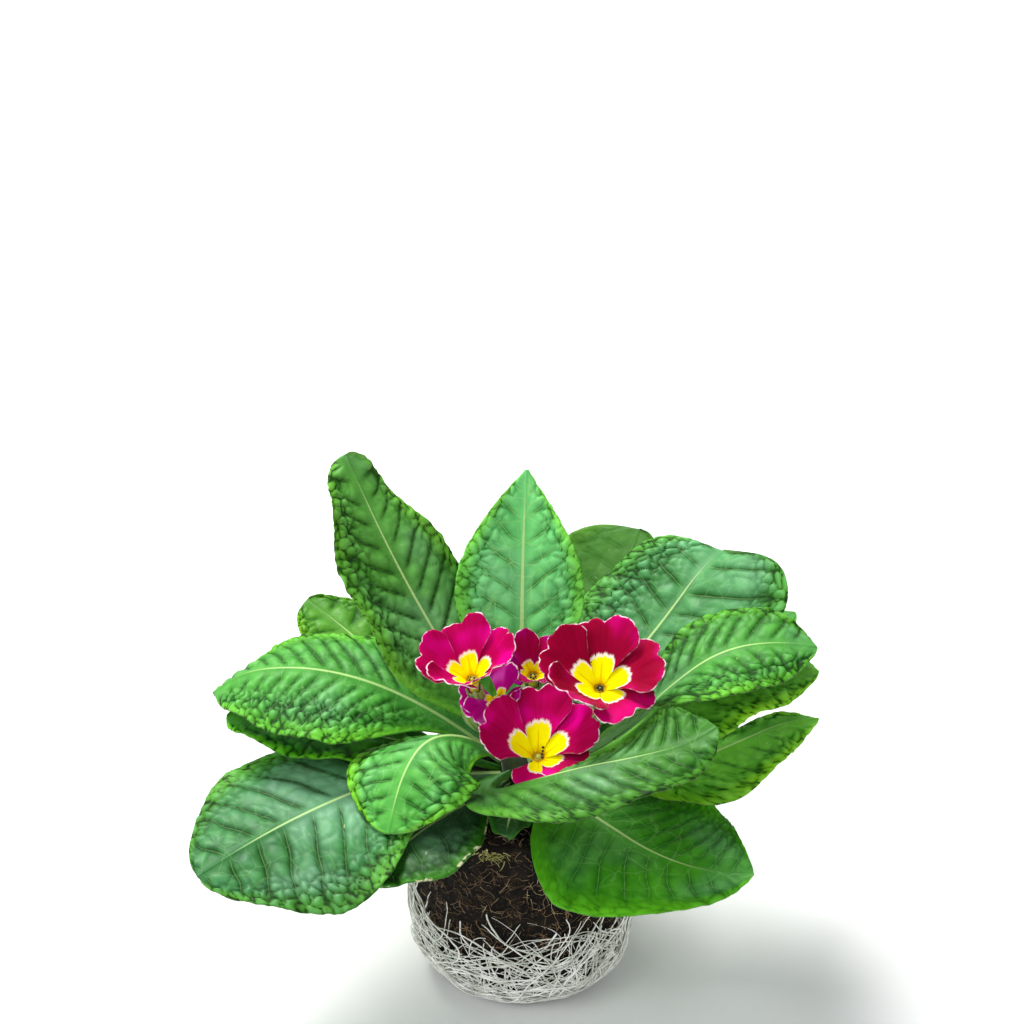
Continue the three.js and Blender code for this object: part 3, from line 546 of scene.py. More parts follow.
# %% Leaves
COARSE, FINE = 1.5, 0.8
SLIM_FOOT = dict(left_share=[0.8, 1, 1], right_share=[0.8, 1, 1])
LEAVES = {
    "back_left_tall": ("tall", 2, 135, 58, [148, 145, 140, 133, 128], [50], dict(
        left=[8], right=[8], curl=[5, 10], left_share=[1, 1.35, 1.12, 1, 1],
        right_share=[1, 1, 0.95, 0.7, 0.7], taper=1.4, widest=0.5, point=0.55, wave=3, phase=1,
        quilt=1.15, veins=11, domes=(0.2, 0.4))),
    "back_centre": ("centre", 2, 110, 53, [92, 89, 84], [62, 60, 58], dict(
        left=[8], right=[8], curl=[10, 10], right_share=[0.93], widest=0.54, point=1.05,
        quilt=0.85, veins=11, mesh_mm=FINE)),
    "back_right_inner": ("shade", 0, 115, 52, [62], [23, 33, 39], dict(
        left=[5], right=[0], curl=[10, 0], left_share=[0.8, 1, 1.1, 1.5],
        right_share=[0.8, 0.8, 0.7, 0.7], point=0.4, quilt=0.5, mesh_mm=COARSE)),
    "back_right": ("blue", 1, 118, 72, [38, 38, 40, 44, 48, 44], [28, 28, 29, 32, 32, 14], dict(
        roll=[0, 6, 8], left=[0], right=[-5, -5, -5, 8, 28], right_share=[1, 1, 1, 1.3, 2],
        point=0.3, widest=0.6, domes=(0.15, 0.4))),
    "right": ("mid", 2, 125, 52, [-22, 0, 10, 12, 4, -3], [6, 34, 48, 35, 6, -12], dict(
        left=[12], right=[60, 60, 24, -12, -20], left_share=[0.7, 0.6, 0.6, 1, 1],
        taper=2.6, veins=9.5, domes=(0.45, 0.1), mesh_mm=FINE)),
    "right_under": ("lime", 1, 121, 50, [-12, 0, 8, 9, 2, -3], [8, 30, 40, 32, 4, -14], dict(
        left=[5], right=[-10, -20], left_share=[0.7, 0.6, 0.6, 1, 1], taper=2.4, mesh_mm=COARSE)),
    "front_right_bent": ("bent", 1, 131, 44, [-122, -98, -38, -8, 0, 12, 30],
                         [16, 20, 36, 23, 12, 10, 20], dict(
        left=[-60, -60, -30, 5, 25], right=[-10], curl=[0, -10],
        left_share=[0.2, 0.2, 0.22, 0.65, 1.7], right_share=[0.6, 0.9, 1, 0.9, 0.9],
        taper=1, veins=9.5, domes=(0.5, 0.4), mesh_mm=FINE)),
    "front_right_low": ("broad", 0, 104, 80, [-52, -47, -40, -25, -5], [3, -2, -9, -2, 8], dict(
        left=[0], right=[-3], left_share=[0.9, 1, 1, 1.1, 1.3],
        right_share=[0.7, 1.05, 1.15, 0.85, 0.45],
        taper=1.2, widest=0.56, wave=1, quilt=0.62, veins=8.5, domes=(0.4, 0.45))),
    "front_left_small": ("young", 2, 80, 52, [-160, -154, -143, -124, -112, -106],
                         [45, 36, 14, -29, -46, -57], dict(
        left=[-30, -30, 0, 0], right=[-26, -29, -22, -5, 0], curl=[0, -10],
        left_share=[0.7, 1.25, 1.1, 1], right_share=[1, 1, 1.1, 1, 1], taper=1.6,
        quilt=1.1, veins=8, mesh_mm=FINE)),
    "left": ("fair", 1, 133, 66, [170], [38, 32, 21, 5, -14, -52], dict(
        left=[-20], right=[2, 2, -5], left_share=[0.3, 0.55, 1, 1, 1],
        right_share=[1, 1, 1, 0.85, 0.6], taper=1.6, widest=0.56,
        quilt=1.15, veins=8.5, domes=(0.12, 0.5), mesh_mm=FINE)),
    "front_left_low": ("low", 0, 133, 84, [-162, -162, -150, -145, -142], [10, 6, -6, -10, -14], dict(
        left=[-4, -8, -16, -20], right=[2], left_share=[1, 1.1, 1.1, 1],
        right_share=[0.7, 1.2, 1, 1], domes=(0.35, 0.45))),
    "front_left_under": ("worn", 0, 76, 38, [-132, -136, -140], [0, -3, -34], dict(
        left_share=[1, 1.3, 1.2], right_share=[0.6], quilt=0.7)),
    "right_low": ("lime", 0, 118, 44, [-12, -8, 0, 25, 30, 5], [14, 8, 5, 10, 6, 0], dict(
        right=[-20], left_share=[0.5], right_share=[1, 1, 1, 0.8, 0.6])),
    "front_low": ("dark", 0, 38, 15, [-98], [8, 2, -10], dict(quilt=0.5, mesh_mm=COARSE)),
    "left_under": ("broad", 0, 114, 42, [173, 174, 176], [15, 9, 0], dict(
        left_share=[0.7, 1, 1], right_share=[0.7, 1, 1], mesh_mm=COARSE)),
    "back_left_low": ("olive", 0, 118, 52, [143, 139, 137], [20, 17, 13], dict(
        right=[8], left_share=[0.8, 0.8, 1], right_share=[0.8, 1, 1])),
    "back_low_left": ("mid", 0, 98, 44, [116, 113, 112], [31, 26, 12], dict(SLIM_FOOT, mesh_mm=COARSE)),
    "back_low_right": ("mid", 0, 100, 44, [90], [14, 9, -2], dict(SLIM_FOOT, mesh_mm=COARSE)),
    "back_right_low": ("mid", 0, 128, 44, [34, 28, 25], [17, 17, 16], dict(mesh_mm=COARSE)),
}
for name, (finish, *values, more) in LEAVES.items():
    named = dict(zip(("level", "length", "width", "yaw", "pitch"), values))
    grow_leaf(dict(more, name="leaf_" + name, **named), finish)

# %% [markdown]
# A primrose petal is broad, thin and notched. Its eye is a yellow star with a feathered white rim,
# crimson velvet follows, and a thread of white runs round the margin. All of that is laid out on
# the petal's own map, where one way is its width and the other its length.

# %% Petal finish
def petal_finish(name, deep, bright, painted_highlight, star=0.44, reach_mm=26.0, painted_highlight_share=0.8):
    petal = Finish(name, Specular_IOR_Level=0.03)
    across, along = petal.map("petal")
    out = abs(across - 0.5) * 2
    streaks = petal.cloud(1.0, petal.point(across * 34, along * 2.2, 0.0), detail=2)
    fine_streaks = petal.cloud(1.0, petal.point(across * 110, along * 7.0, 2.0), detail=2)
    feather = petal.cloud(1.0, petal.point(across * 80, along * 3.0, 5.0), detail=1)
    blotch = petal.cloud(60, detail=1)

    star_edge = star * (1 - out.rise(0.6, 1.0) * 0.24) * (1.1 - out.rise(0.0, 0.28) * 0.1)
    star_edge = star_edge + (feather - 0.5) * 0.07 + (streaks - 0.5) * 0.05
    beyond = along - star_edge
    in_star, in_rim = 1 - beyond.rise(-0.03, 0.0), 1 - beyond.rise(0.008, 0.05)
    side_mm, end_mm = (1 - out) * (along * 0.72 * reach_mm), (1 - along) * reach_mm
    ragged = petal.cloud(330, detail=2).rise(0.42, 0.6)
    at_end = (1 - (end_mm - ragged * 0.3).rise(0.0, 0.15)) * (ragged * 0.75 + 0.15)
    at_side = (1 - side_mm.rise(0.05, 0.25)) * (ragged * 0.35 + 0.05)
    at_margin = at_end.most(at_side) * along.rise(0.5, 0.8)

    velvet = petal.mix((streaks * 0.3 + blotch * 0.8 - 0.05).rise(0.3, 0.75), deep, bright)
    # painted highlight: brighter magenta laid in random patches on the outer part of the petal
    velvet = petal.mix(blotch.rise(0.46, 0.62) * along.rise(0.35, 0.8) * painted_highlight_share, velvet, painted_highlight)
    velvet = petal.mix(fine_streaks.rise(0.6, 0.8) * 0.22, velvet, [c * 0.7 for c in deep])
    back = petal.mix(fine_streaks.rise(0.52, 0.66) * 0.5, velvet, [c * 0.5 + 110 for c in bright])
    velvet = petal.mix(petal.mark("under") * 0.6, velvet, back)
    middle = 1 - (out * reach_mm * along).rise(0.15, 0.6)
    eye = petal.mix(along.rise(0.0, 0.15), (240, 206, 0), (255, 246, 0))
    eye = petal.mix(middle * (1 - along.rise(0.28, 0.42)) * 0.6, eye, (230, 168, 0))
    colour = petal.mix(in_rim, velvet, (252, 240, 232))
    colour = petal.mix(in_star, colour, eye)
    specks = (1 - petal.cells(130, petal.place()).rise(0.03, 0.045)) * along.rise(0.1, 0.2)
    colour = petal.mix(specks * in_rim, colour, (50, 24, 10))
    colour = petal.mix(at_margin, colour, (250, 226, 236))
    petal.relief(streaks * 0.8 + fine_streaks * 0.25 + petal.cloud(900) * 0.1, 0.0003, 0.4)
    return petal.paint(colour, fine_streaks * 0.12 + 0.5)


# the third red of each is its painted highlight
PETAL_REDS = {
    "magenta": ((164, 0, 66), (206, 0, 106), (240, 0, 158), dict(painted_highlight_share=0.7)),
    "crimson": ((136, 0, 40), (174, 0, 56), (214, 0, 122), dict(star=0.41, painted_highlight_share=0.6)),
    "rose": ((160, 0, 64), (200, 0, 98), (220, 0, 138), dict(star=0.37, reach_mm=23)),
    "plum": ((160, 0, 50), (176, 0, 100), (176, 0, 156), dict(star=0.27, reach_mm=17)),
    "violet": ((170, 0, 122), (212, 20, 168), (240, 110, 222), dict(star=0.24, reach_mm=11)),
}
PETAL_FINISHES = {
    key: petal_finish("petal_" + key, *reds, **more) for key, (*reds, more) in PETAL_REDS.items()
}
print("petal finishes:", sorted(PETAL_FINISHES))

# %% [markdown]
# A bloom's tube and throat show in the middle of the eye: a yellow funnel with the dark anthers and
# the pale head of the stigma just inside it. Stalks, calyces and buds are soft green with fine ribs.

# %% Green finishes
def soft_green(name, deep, light, stripes=0.0):
    green = Finish(name, Sheen_Weight=0.3, Roughness=0.6)
    across, _ = green.map("petal")
    patch = green.cloud(160, detail=3)
    stripe = abs((across * 10).fraction() - 0.5) * 2 * stripes
    colour = green.mix((patch * 0.8 + stripe).rise(0.25, 0.8), deep, light)
    green.relief(green.cloud(1400) + patch * 0.5, 0.0002, 0.6)
    return green.paint(colour, patch * 0.2 + 0.45)


def dark_bits():
    bits = Finish("anther_brown")
    colour = bits.mix(bits.cloud(900).rise(0.35, 0.65), (14, 12, 8), (70, 54, 20))
    bits.relief(bits.cloud(2400), 0.0002, 0.8)
    return bits.paint(colour, bits.cloud(500) * 0.3 + 0.5)


THROAT = soft_green("throat_yellow", (214, 190, 0), (250, 236, 60))
STIGMA_GREEN = soft_green("stigma_green", (186, 200, 84), (232, 236, 160))
CALYX_GREEN = soft_green("calyx_green", (78, 108, 34), (150, 176, 92), stripes=0.6)
CROWN_GREEN = soft_green("crown_green", (34, 46, 14), (78, 98, 38))
ANTHER_BROWN = dark_bits()
print("finishes so far:", len(bpy.data.materials))

# %% [markdown]
# Each bloom looks along its own axis, and its petals are placed round that axis. One margin of a
# petal lies over its neighbour and the other under, which gives the layers. Tubes, cups and the
# crown are profiles of radius and height, rolled round the same kind of axis.

# %% Bloom rule
PETALS = 5
PETAL_THICKNESS = 0.4
THROAT_RADIUS = 2.6
TUBE_LENGTH = 10.0
TUBE_RADIUS = 1.9
NOTCH = 0.08
LAYER = 2.3
LARGE_BLOOM = 16
UPRIGHT = (Vector((0, 0, 1)), Vector((1, 0, 0)), Vector((0, 1, 0)))


def bloom_axes(azimuth, height, spin):
    """The way that a bloom looks, and two directions square to it."""
    azimuth, height = math.radians(azimuth), math.radians(height)
    level = math.cos(height)
    axis = Vector((level * math.cos(azimuth), level * math.sin(azimuth), math.sin(height)))
    east = Vector((0, 0, 1)).cross(axis).normalized()
    east = Matrix.Rotation(math.radians(spin), 3, axis) @ east
    return axis, east, axis.cross(east)


def around(centre, axes, radius, angle, height):
    axis, east, north = axes
    spot = centre + east * (radius * math.cos(angle)) + north * (radius * math.sin(angle))
    return (spot + axis * height) * MM


def bend_petal(bm, bloom, index, throat, axes):
    turn = 2 * math.pi * index / PETALS + math.radians(bloom.get("turn", [0] * PETALS)[index])
    inner, outer = bloom.get("spread", (34, 46))
    start = THROAT_RADIUS - 0.5
    share = bloom.get("share", [1] * PETALS)[index]
    seed = 31 * index + throat.x

    def place(a, b):
        u, t = 1 - 2 * a, b
        notch = math.exp(-((u / 0.13) ** 2))
        frill = abs(math.sin(math.pi * (3 * u + 0.5 * noise.noise(Vector((3 * u, seed, 0))))))
        edge = 1.02 - NOTCH * notch - 0.26 * abs(u) ** 3.5 - 0.03 * (1 - frill) ** 1.5
        length = t * (share * bloom["radius"] * edge - start)
        half_bend = math.radians(bloom["bend"][index] * t) / 2
        chord = length * math.sin(half_bend) / half_bend if half_bend else length
        slope = math.radians(bloom["rise"][index]) + half_bend
        angle = turn + math.radians(lerp(inner, outer, t)) * u
        ruffle = bloom["ruffle"] * t * t * math.cos(4.2 * u + index * 1.7)
        ruffle += 1.6 * t**3 * noise.noise(Vector((3.4 * u, 1.5 * t, seed)))
        ruffle += 0.7 * t**3 * math.exp(-((u / 0.12) ** 2)) - 0.5 * t**5 * frill
        reach = start + chord * math.cos(slope)
        return around(throat, axes, reach, angle, chord * math.sin(slope) + ruffle - LAYER * u * t)

    grid = (42, 25) if bloom["radius"] > LARGE_BLOOM else (28, 16)
    bend_sheet(bm, *grid, place)


def roll_tube(bm, profile, sides, centre, axes, ripple=None):
    """Rolls a grid round an axis, along a profile of radius and height."""

    def place(a, b):
        spot = b * (len(profile) - 1)
        k = min(int(spot), len(profile) - 2)
        radius, height = (lerp(profile[k][i], profile[k + 1][i], spot - k) for i in (0, 1))
        angle = 2 * math.pi * a
        if ripple:
            radius, height = ripple(angle, b, radius, height)
        return around(centre, axes, radius, angle, height)

    bend_sheet(bm, sides, 3 * (len(profile) - 1), place)


# %% [markdown]
# A bloom's five sheets are bent first and get their wall after, as for the leaves. The tube is
# closed on its own and then joined in. In the throat sit the anthers and the head of the stigma,
# which are so small that a low sphere each is enough.

# %% Bloom maker
ANTHERS = [(17 + 72 * k, 1.1, -0.2, 0.5) for k in range(PETALS)]  # degrees; mm out, up, across
STIGMA = (0, 0, 0.1, 0.6)
TUBE_PROFILE = [(0, -TUBE_LENGTH), (TUBE_RADIUS - 0.3, -TUBE_LENGTH), (TUBE_RADIUS, -4),
                (THROAT_RADIUS + 0.3, -0.1), (THROAT_RADIUS - 0.3, -0.3), (TUBE_RADIUS - 0.5, -1.0),
                (0, -1.6)]


def open_bloom(bloom, finish):
    throat = Vector(bloom["throat"]) + Vector((0, 0, BALL_HEIGHT))
    axes = bloom_axes(bloom["azimuth"], bloom["height"], bloom["spin"])
    bm = bmesh.new()
    bm.verts.layers.float.new("under")
    for index in range(PETALS):
        bend_petal(bm, bloom, index, throat, axes)
    add_wall(bm, PETAL_THICKNESS)
    tube = bmesh.new()
    roll_tube(tube, TUBE_PROFILE, 20, throat, axes)
    close_seams(tube)
    for face in tube.faces:
        face.material_index = 1
    bits = bloom.get("anthers", ANTHERS) + [bloom.get("stigma", STIGMA)]
    for degrees, radius, height, size in bits:
        spot = Matrix.Translation(around(throat, axes, radius, math.radians(degrees), height))
        made = bmesh.ops.create_icosphere(tube, subdivisions=1, radius=size * MM, matrix=spot)
        for face in {face for vert in made["verts"] for face in vert.link_faces}:
            face.material_index = 2 if radius else 3
    carry = bpy.data.meshes.new("tube")
    tube.to_mesh(carry)
    tube.free()
    bm.from_mesh(carry)
    bpy.data.meshes.remove(carry)
    map_shares(bm, "petal")
    materials = [PETAL_FINISHES[finish], THROAT, ANTHER_BROWN, STIGMA_GREEN]
    slot = "violet_petals" if finish == "violet" else "crimson_petals"
    name = "bloom_" + bloom["name"]
    finish_piece(name, bm, materials, [name])


# %% [markdown]
# The values of the blooms. The throat is in millimetres from the middle of the ball's top, the
# azimuth, height and spin say how the bloom looks, and the lists give each petal's own turn, rise,
# bend and share of the length.

# %% Blooms
BLOOMS = [
    ("magenta", dict(
        name="front", throat=(6, -30, 29), azimuth=-90, height=71, radius=29, spin=18,
        turn=[0, 0, 3, 36, 14], rise=[42, 42, 44, 26, 33], bend=[-10, -10, -10, -35, 0],
        share=[1, 1, 1, 0.66, 0.84], ruffle=1.2, root=(0.4, -5), stigma=(0, 0, 0.4, 1.1),
        anthers=[(330, 1.6, 0.3, 0.6), (20, 1.8, 0.5, 0.6), (34, 2.7, 1.1, 0.5), (42, 3.7, 2.0, 0.6)])),
    ("crimson", dict(
        name="right", throat=(30, -18, 53), azimuth=-90, height=71, radius=29, spin=13,
        turn=[0, 0, 0, 0, 8], rise=[38, 42, 40, 37, 24], bend=[-10, -10, -10, 10, -10],
        share=[1, 1, 1, 1, 0.85], ruffle=1.4, root=(4.2, -2.6), spread=(35, 50),
        anthers=[(20 + 72 * k, 0.9, 0.35, 0.75) for k in range(PETALS)])),
    ("rose", dict(
        name="left", throat=(-20, -13, 54), azimuth=-120, height=72, radius=25.5, spin=54,
        rise=[46, 46, 46, 48, 50], bend=[-10, -10, -10, 0, -5], ruffle=1.4, root=(-5, 0.8))),
    ("plum", dict(
        name="centre", throat=(4, 5, 44.5), azimuth=-90, height=70, radius=18.5, spin=50,
        rise=[40, 40, 44, 52, 44], bend=[-10, -10, -10, -5, -10],
        share=[1, 1, 0.85, 1, 1], ruffle=1.2, root=(0, 1))),
    ("violet", dict(
        name="small_left", throat=(-9.5, -12, 43.6), azimuth=-115, height=64, radius=14, spin=20,
        turn=[0, 0, 40, 14, 0], spread=(32, 40), rise=[40, 40, 34, 28, 40], bend=[-10] * 5,
        share=[0.85, 1.1, 1.2, 1.15, 0.75], ruffle=1, root=(-3.6, -3.2))),
    ("violet", dict(
        name="small_right", throat=(17, 3, 36), azimuth=-50, height=62, radius=12, spin=40,
        rise=[40] * 5, bend=[-10] * 5, ruffle=1, root=(4.9, 0.9))),
]
for finish, bloom in BLOOMS:
    open_bloom(bloom, finish)

# %% [markdown]
# A stalk rises from the crown and bends over to the foot of its calyx, so its grid is rolled round
# a curve. A Bezier curve through the two ends gives the bend. The calyx is a ribbed cup with five
# teeth, and a closed bud is the same stalk with a pointed cup.

# %% Stalk maker
PEDICEL_RADIUS = 1.2
CROWN_RISE = 15.0
CALYX_FOOT = 14.0
CALYX_RIM = 5.0
CALYX_RADIUS = 3.8
BORE = TUBE_RADIUS + GAP + 0.25
CUP_PROFILE = [
    (0, -CALYX_FOOT - 0.4), (1.2, -CALYX_FOOT - 0.2), (2.7, -CALYX_FOOT + 1.4),
    (CALYX_RADIUS, -CALYX_FOOT + 4.5), (CALYX_RADIUS - 0.5, -CALYX_RIM - 1.6),
    (CALYX_RADIUS - 0.3, -CALYX_RIM), (BORE + 0.35, -CALYX_RIM - 0.6),
    (BORE, -TUBE_LENGTH - 0.4), (0, -TUBE_LENGTH - 0.5),
]
BUD_PROFILE = [(radius, rise - CALYX_FOOT) for radius, rise in (
    (0, -0.4), (1.3, 0), (2.6, 3), (3.2, 6), (2.9, 9), (2.0, 12), (0.6, 15), (0, 15.3))]


def bezier(points, t):
    a, b, c, d = points
    return a * (1 - t) ** 3 + b * (3 * t * (1 - t) ** 2) + c * (3 * t * t * (1 - t)) + d * t**3


def roll_stalk(bm, throat, axis, root):
    foot = throat - axis * (CALYX_FOOT - 1.0)
    start = Vector((root[0], root[1], BALL_HEIGHT + CROWN_RISE + GAP))
    lean = (foot - start).length * 0.4
    points = (start, start + Vector((0, 0, lean)), foot - axis * lean, foot)

    def place(a, b):
        if b in (0.0, 1.0):
            return bezier(points, b) * MM
        t = clamp((b - 0.05) / 0.9)
        along = (bezier(points, min(t + 0.01, 1)) - bezier(points, max(t - 0.01, 0))).normalized()
        side = along.cross(Vector((0, 1, 0.2))).normalized()
        angle = 2 * math.pi * a
        rough = 0.1 * noise.noise(Vector((9 * t, root[0], 0)))
        radius = PEDICEL_RADIUS * (1 + 0.06 * math.sin(5 * angle) + rough)
        out = side * math.cos(angle) + along.cross(side) * math.sin(angle)
        return (bezier(points, t) + out * radius) * MM

    bend_sheet(bm, 14, 20, place)


def grow_stalk(name, throat, azimuth, height, spin, root, closed):
    throat = Vector(throat) + Vector((0, 0, BALL_HEIGHT))
    axes = bloom_axes(azimuth, height, spin + 36)
    bm = bmesh.new()
    roll_stalk(bm, throat, axes[0], root)

    def ribs(angle, b, radius, height):
        rib = 1 + 0.09 * math.cos(5 * angle) * math.sin(math.pi * min(b * 1.5, 1))
        at_rim = smoothstep(b, 0.45, 0.62) * smoothstep(-b, -0.85, -0.68)
        tooth = 1.9 * max(math.cos(5 * angle), 0) ** 1.5 * at_rim
        return radius * rib, height if closed else height + tooth

    roll_tube(bm, BUD_PROFILE if closed else CUP_PROFILE, 30, throat, axes, ribs)
    close_seams(bm)
    map_shares(bm, "petal")
    finish_piece(name, bm, [CALYX_GREEN], [name])


# %% [markdown]
# Every bloom has a stalk that ends in a calyx, turned so that its teeth stand between the petals.
# The two buds take the same call with their own places, and stay closed.

# %% Stalks and buds
for _, bloom in BLOOMS:
    pose = (bloom[key] for key in ("throat", "azimuth", "height", "spin", "root"))
    grow_stalk("stalk_" + bloom["name"], *pose, closed=False)
BUDS = [("bud_left", (-24, -4, 36), 190, 60, 0, (-2, 5.4)),
        ("bud_back", (14, 15, 31), 20, 60, 0, (2.6, 4.8))]
for bud in BUDS:
    grow_stalk(*bud, closed=True)

# %% [markdown]
# The crown is a stub of stem, scarred where old leaves came off. A profile that turns about the
# middle gives it, with rings of low scars.

# %% Crown
CROWN_FLOOR = -6 + GAP
CROWN_PROFILE = [(0, CROWN_FLOOR), (8, CROWN_FLOOR), (9, CROWN_FLOOR + 1), (9, 4), (9, 9), (8.5, 13.5),
                 (7, 15), (3, 15), (0, 15)]


def grow_crown():
    bm = bmesh.new()

    def scars(angle, b, radius, height):
        rough = 0.35 * noise.noise(Vector((3 * math.cos(angle), 3 * math.sin(angle), height / 3)))
        ring = 1 - 0.03 * abs(math.sin(4 * angle + height))
        return radius * ring - abs(rough) * (radius > 5), height

    roll_tube(bm, CROWN_PROFILE, 40, Vector((0, 0, BALL_HEIGHT)), UPRIGHT, scars)
    close_seams(bm)
    map_shares(bm, "petal")
    finish_piece("crown", bm, [CROWN_GREEN], ["crown"])


grow_crown()

# %% [markdown]
# Peat keeps the shape of the pot that it was grown in, but its skin is all crumbs and fibre. The
# large lumps are the solid's own. Finer noise is added as mesh down to about two millimetres, and
# the crumbs below that are a bump.

# %% Peat finish
FIBRE_STRETCH = (1500, 1500, 320)


def peat_finish():
    peat = Finish("dark_peat", Specular_IOR_Level=0.2)
    place = peat.place()
    clods = peat.cloud(130, place, detail=5)
    crumbs = peat.cloud(620, place, detail=3)
    stretched = peat.add("Mapping", (), {"Vector": place, "Scale": FIBRE_STRETCH})
    fibre = peat.cloud(1.0, stretched, detail=2)
    colour = peat.mix(clods.rise(0.4, 0.72), (5, 3, 1), (34, 25, 17))
    colour = peat.mix(crumbs.rise(0.58, 0.76) * 0.7, colour, (92, 70, 50))
    colour = peat.mix(fibre.rise(0.66, 0.8) * 0.5, colour, (128, 104, 78))
    peat.relief(clods + crumbs * 0.8 + fibre * 0.4, 0.0016, 0.9)
    return peat.paint(colour, crumbs * 0.2 + 0.78)


# %% [markdown]
# The ball narrows downwards, like its pot, and is rounded at the foot. Its profile dips to a plain
# hole at the top, which holds the crown. The foot stays flat so that the plant stands well.

# %% Root ball
BALL_DOME = 1.0
BALL_TOP_RADIUS = 49.5
BALL_LOW_RADIUS = 44.0
BALL_FOOT_RADIUS = 26.0
BALL_LOW_ROUND = 20.0
BALL_LUMP = 1.1
BALL_RIM = BALL_HEIGHT - BALL_DOME
HOLE_RADIUS = 9.4
HOLE_FLOOR = 83.3
BALL_SIDES = 220


def wall_radius(z):
    if z > BALL_LOW_ROUND:
        return lerp(BALL_LOW_RADIUS, BALL_TOP_RADIUS, (z - BALL_LOW_ROUND) / (BALL_RIM - BALL_LOW_ROUND))
    turn = math.sqrt(clamp(1 - (1 - z / BALL_LOW_ROUND) ** 2))
    return lerp(BALL_FOOT_RADIUS, BALL_LOW_RADIUS, turn)


def lump(angle, z):
    coarse = math.sin(3 * angle + 0.09 * z) * math.cos(0.11 * z + 1.3)
    fine = math.sin(7 * angle - 0.17 * z + 2) * math.sin(0.21 * z + 4 * angle)
    return BALL_LUMP * (0.6 * coarse + 0.5 * fine)


def crumble(spot):
    """How far the crumbs stand out at a place on the peat, in millimetres."""
    clods = noise.fractal(spot / 6.5, 0.8, 2.1, 3)
    return 1.1 * clods + 0.5 * noise.noise(spot / 2.1)


def grow_ball():
    bm = bmesh.new()
    profile = [(0, 0), (BALL_FOOT_RADIUS, 0)]
    profile += [(wall_radius(z), z) for z in (1, 3, 6, 10, 15, *range(20, 80, 6), 79)]
    profile += [(BALL_TOP_RADIUS - 0.6, BALL_RIM - 5), (BALL_TOP_RADIUS - 2, BALL_RIM - 1.4)]
    profile += [(BALL_TOP_RADIUS - 5, BALL_RIM), (40, BALL_RIM + 0.2), (30, BALL_RIM + 0.6)]
    profile += [(18, BALL_RIM + 0.9), (HOLE_RADIUS, BALL_HEIGHT), (HOLE_RADIUS, HOLE_FLOOR), (0, HOLE_FLOOR)]

    def crumbly(angle, b, radius, height):
        if radius < 14 or height < 1:  # the hole and the flat foot stay plain
            return radius, height
        grit = crumble(Vector((radius * math.cos(angle), radius * math.sin(angle), height)))
        if height > BALL_RIM - 1:
            return radius, height + 0.7 * lump(angle, height) + 0.8 * grit
        return radius + lump(angle, height) * min(height / 3, 1) + grit * min(height / 6, 1), height

    roll_tube(bm, profile, BALL_SIDES, Vector((0, 0, 0)), UPRIGHT, crumbly)
    close_seams(bm)
    finish_piece("root_ball", bm, [peat_finish()], ["root_ball"])


grow_ball()

# %% [markdown]
# Roots and fibres are threads: hundreds of thin curves with a radius at each point. A curve object
# with a bevel turns such a list of points into round threads and keeps the mesh light. Each
# thread wanders over the wall of the peat, a step at a time, from a seeded list of numbers.

# %% Thread maker
def lay_threads(name, paths, material, nodes=()):
    """One curve object from paths of (point in millimetres, radius in millimetres)."""
    curve = bpy.data.curves.new(name, "CURVE")
    curve.dimensions = "3D"
    curve.bevel_depth = MM
    curve.bevel_resolution = 0
    curve.use_fill_caps = True
    for path in paths:
        thread = curve.splines.new("POLY")
        thread.points.add(len(path) - 1)
        for point, (spot, radius) in zip(thread.points, path):
            point.co = (*(spot * MM), 1)
            point.radius = radius
    curve.materials.append(material)
    join_plant(bpy.data.objects.new(name, curve), nodes)
    print(f"{name}: {len(paths)} threads, about {8 * sum(map(len, paths))} triangles")


def thread_finish(name, dark, light, rough=0.75):
    thread = Finish(name, Specular_IOR_Level=0.3)
    patch = thread.cloud(160, detail=2)
    thread.relief(thread.cloud(1800), 0.00015, 0.6)
    return thread.paint(thread.mix(patch.rise(0.3, 0.7), dark, light), patch * 0.1 + (rough - 0.05))


def on_wall(angle, z, lift):
    """A place that is lift millimetres off the wall of the peat."""
    z = max(z, 0.9 + lift * 0.3)
    radius = wall_radius(z) + lump(angle, z) * min(z / 3, 1) + lift
    return Vector((radius * math.cos(angle), radius * math.sin(angle), z))


# %% [markdown]
# New roots are white. They reach the pot's wall half-way down, turn, and run round the ball and
# down to its foot. The lower half of the wall is a mat of them and the top shows only peat.

# %% White roots
ROOT_STEP = 2.6
ROOT_TOP = 54


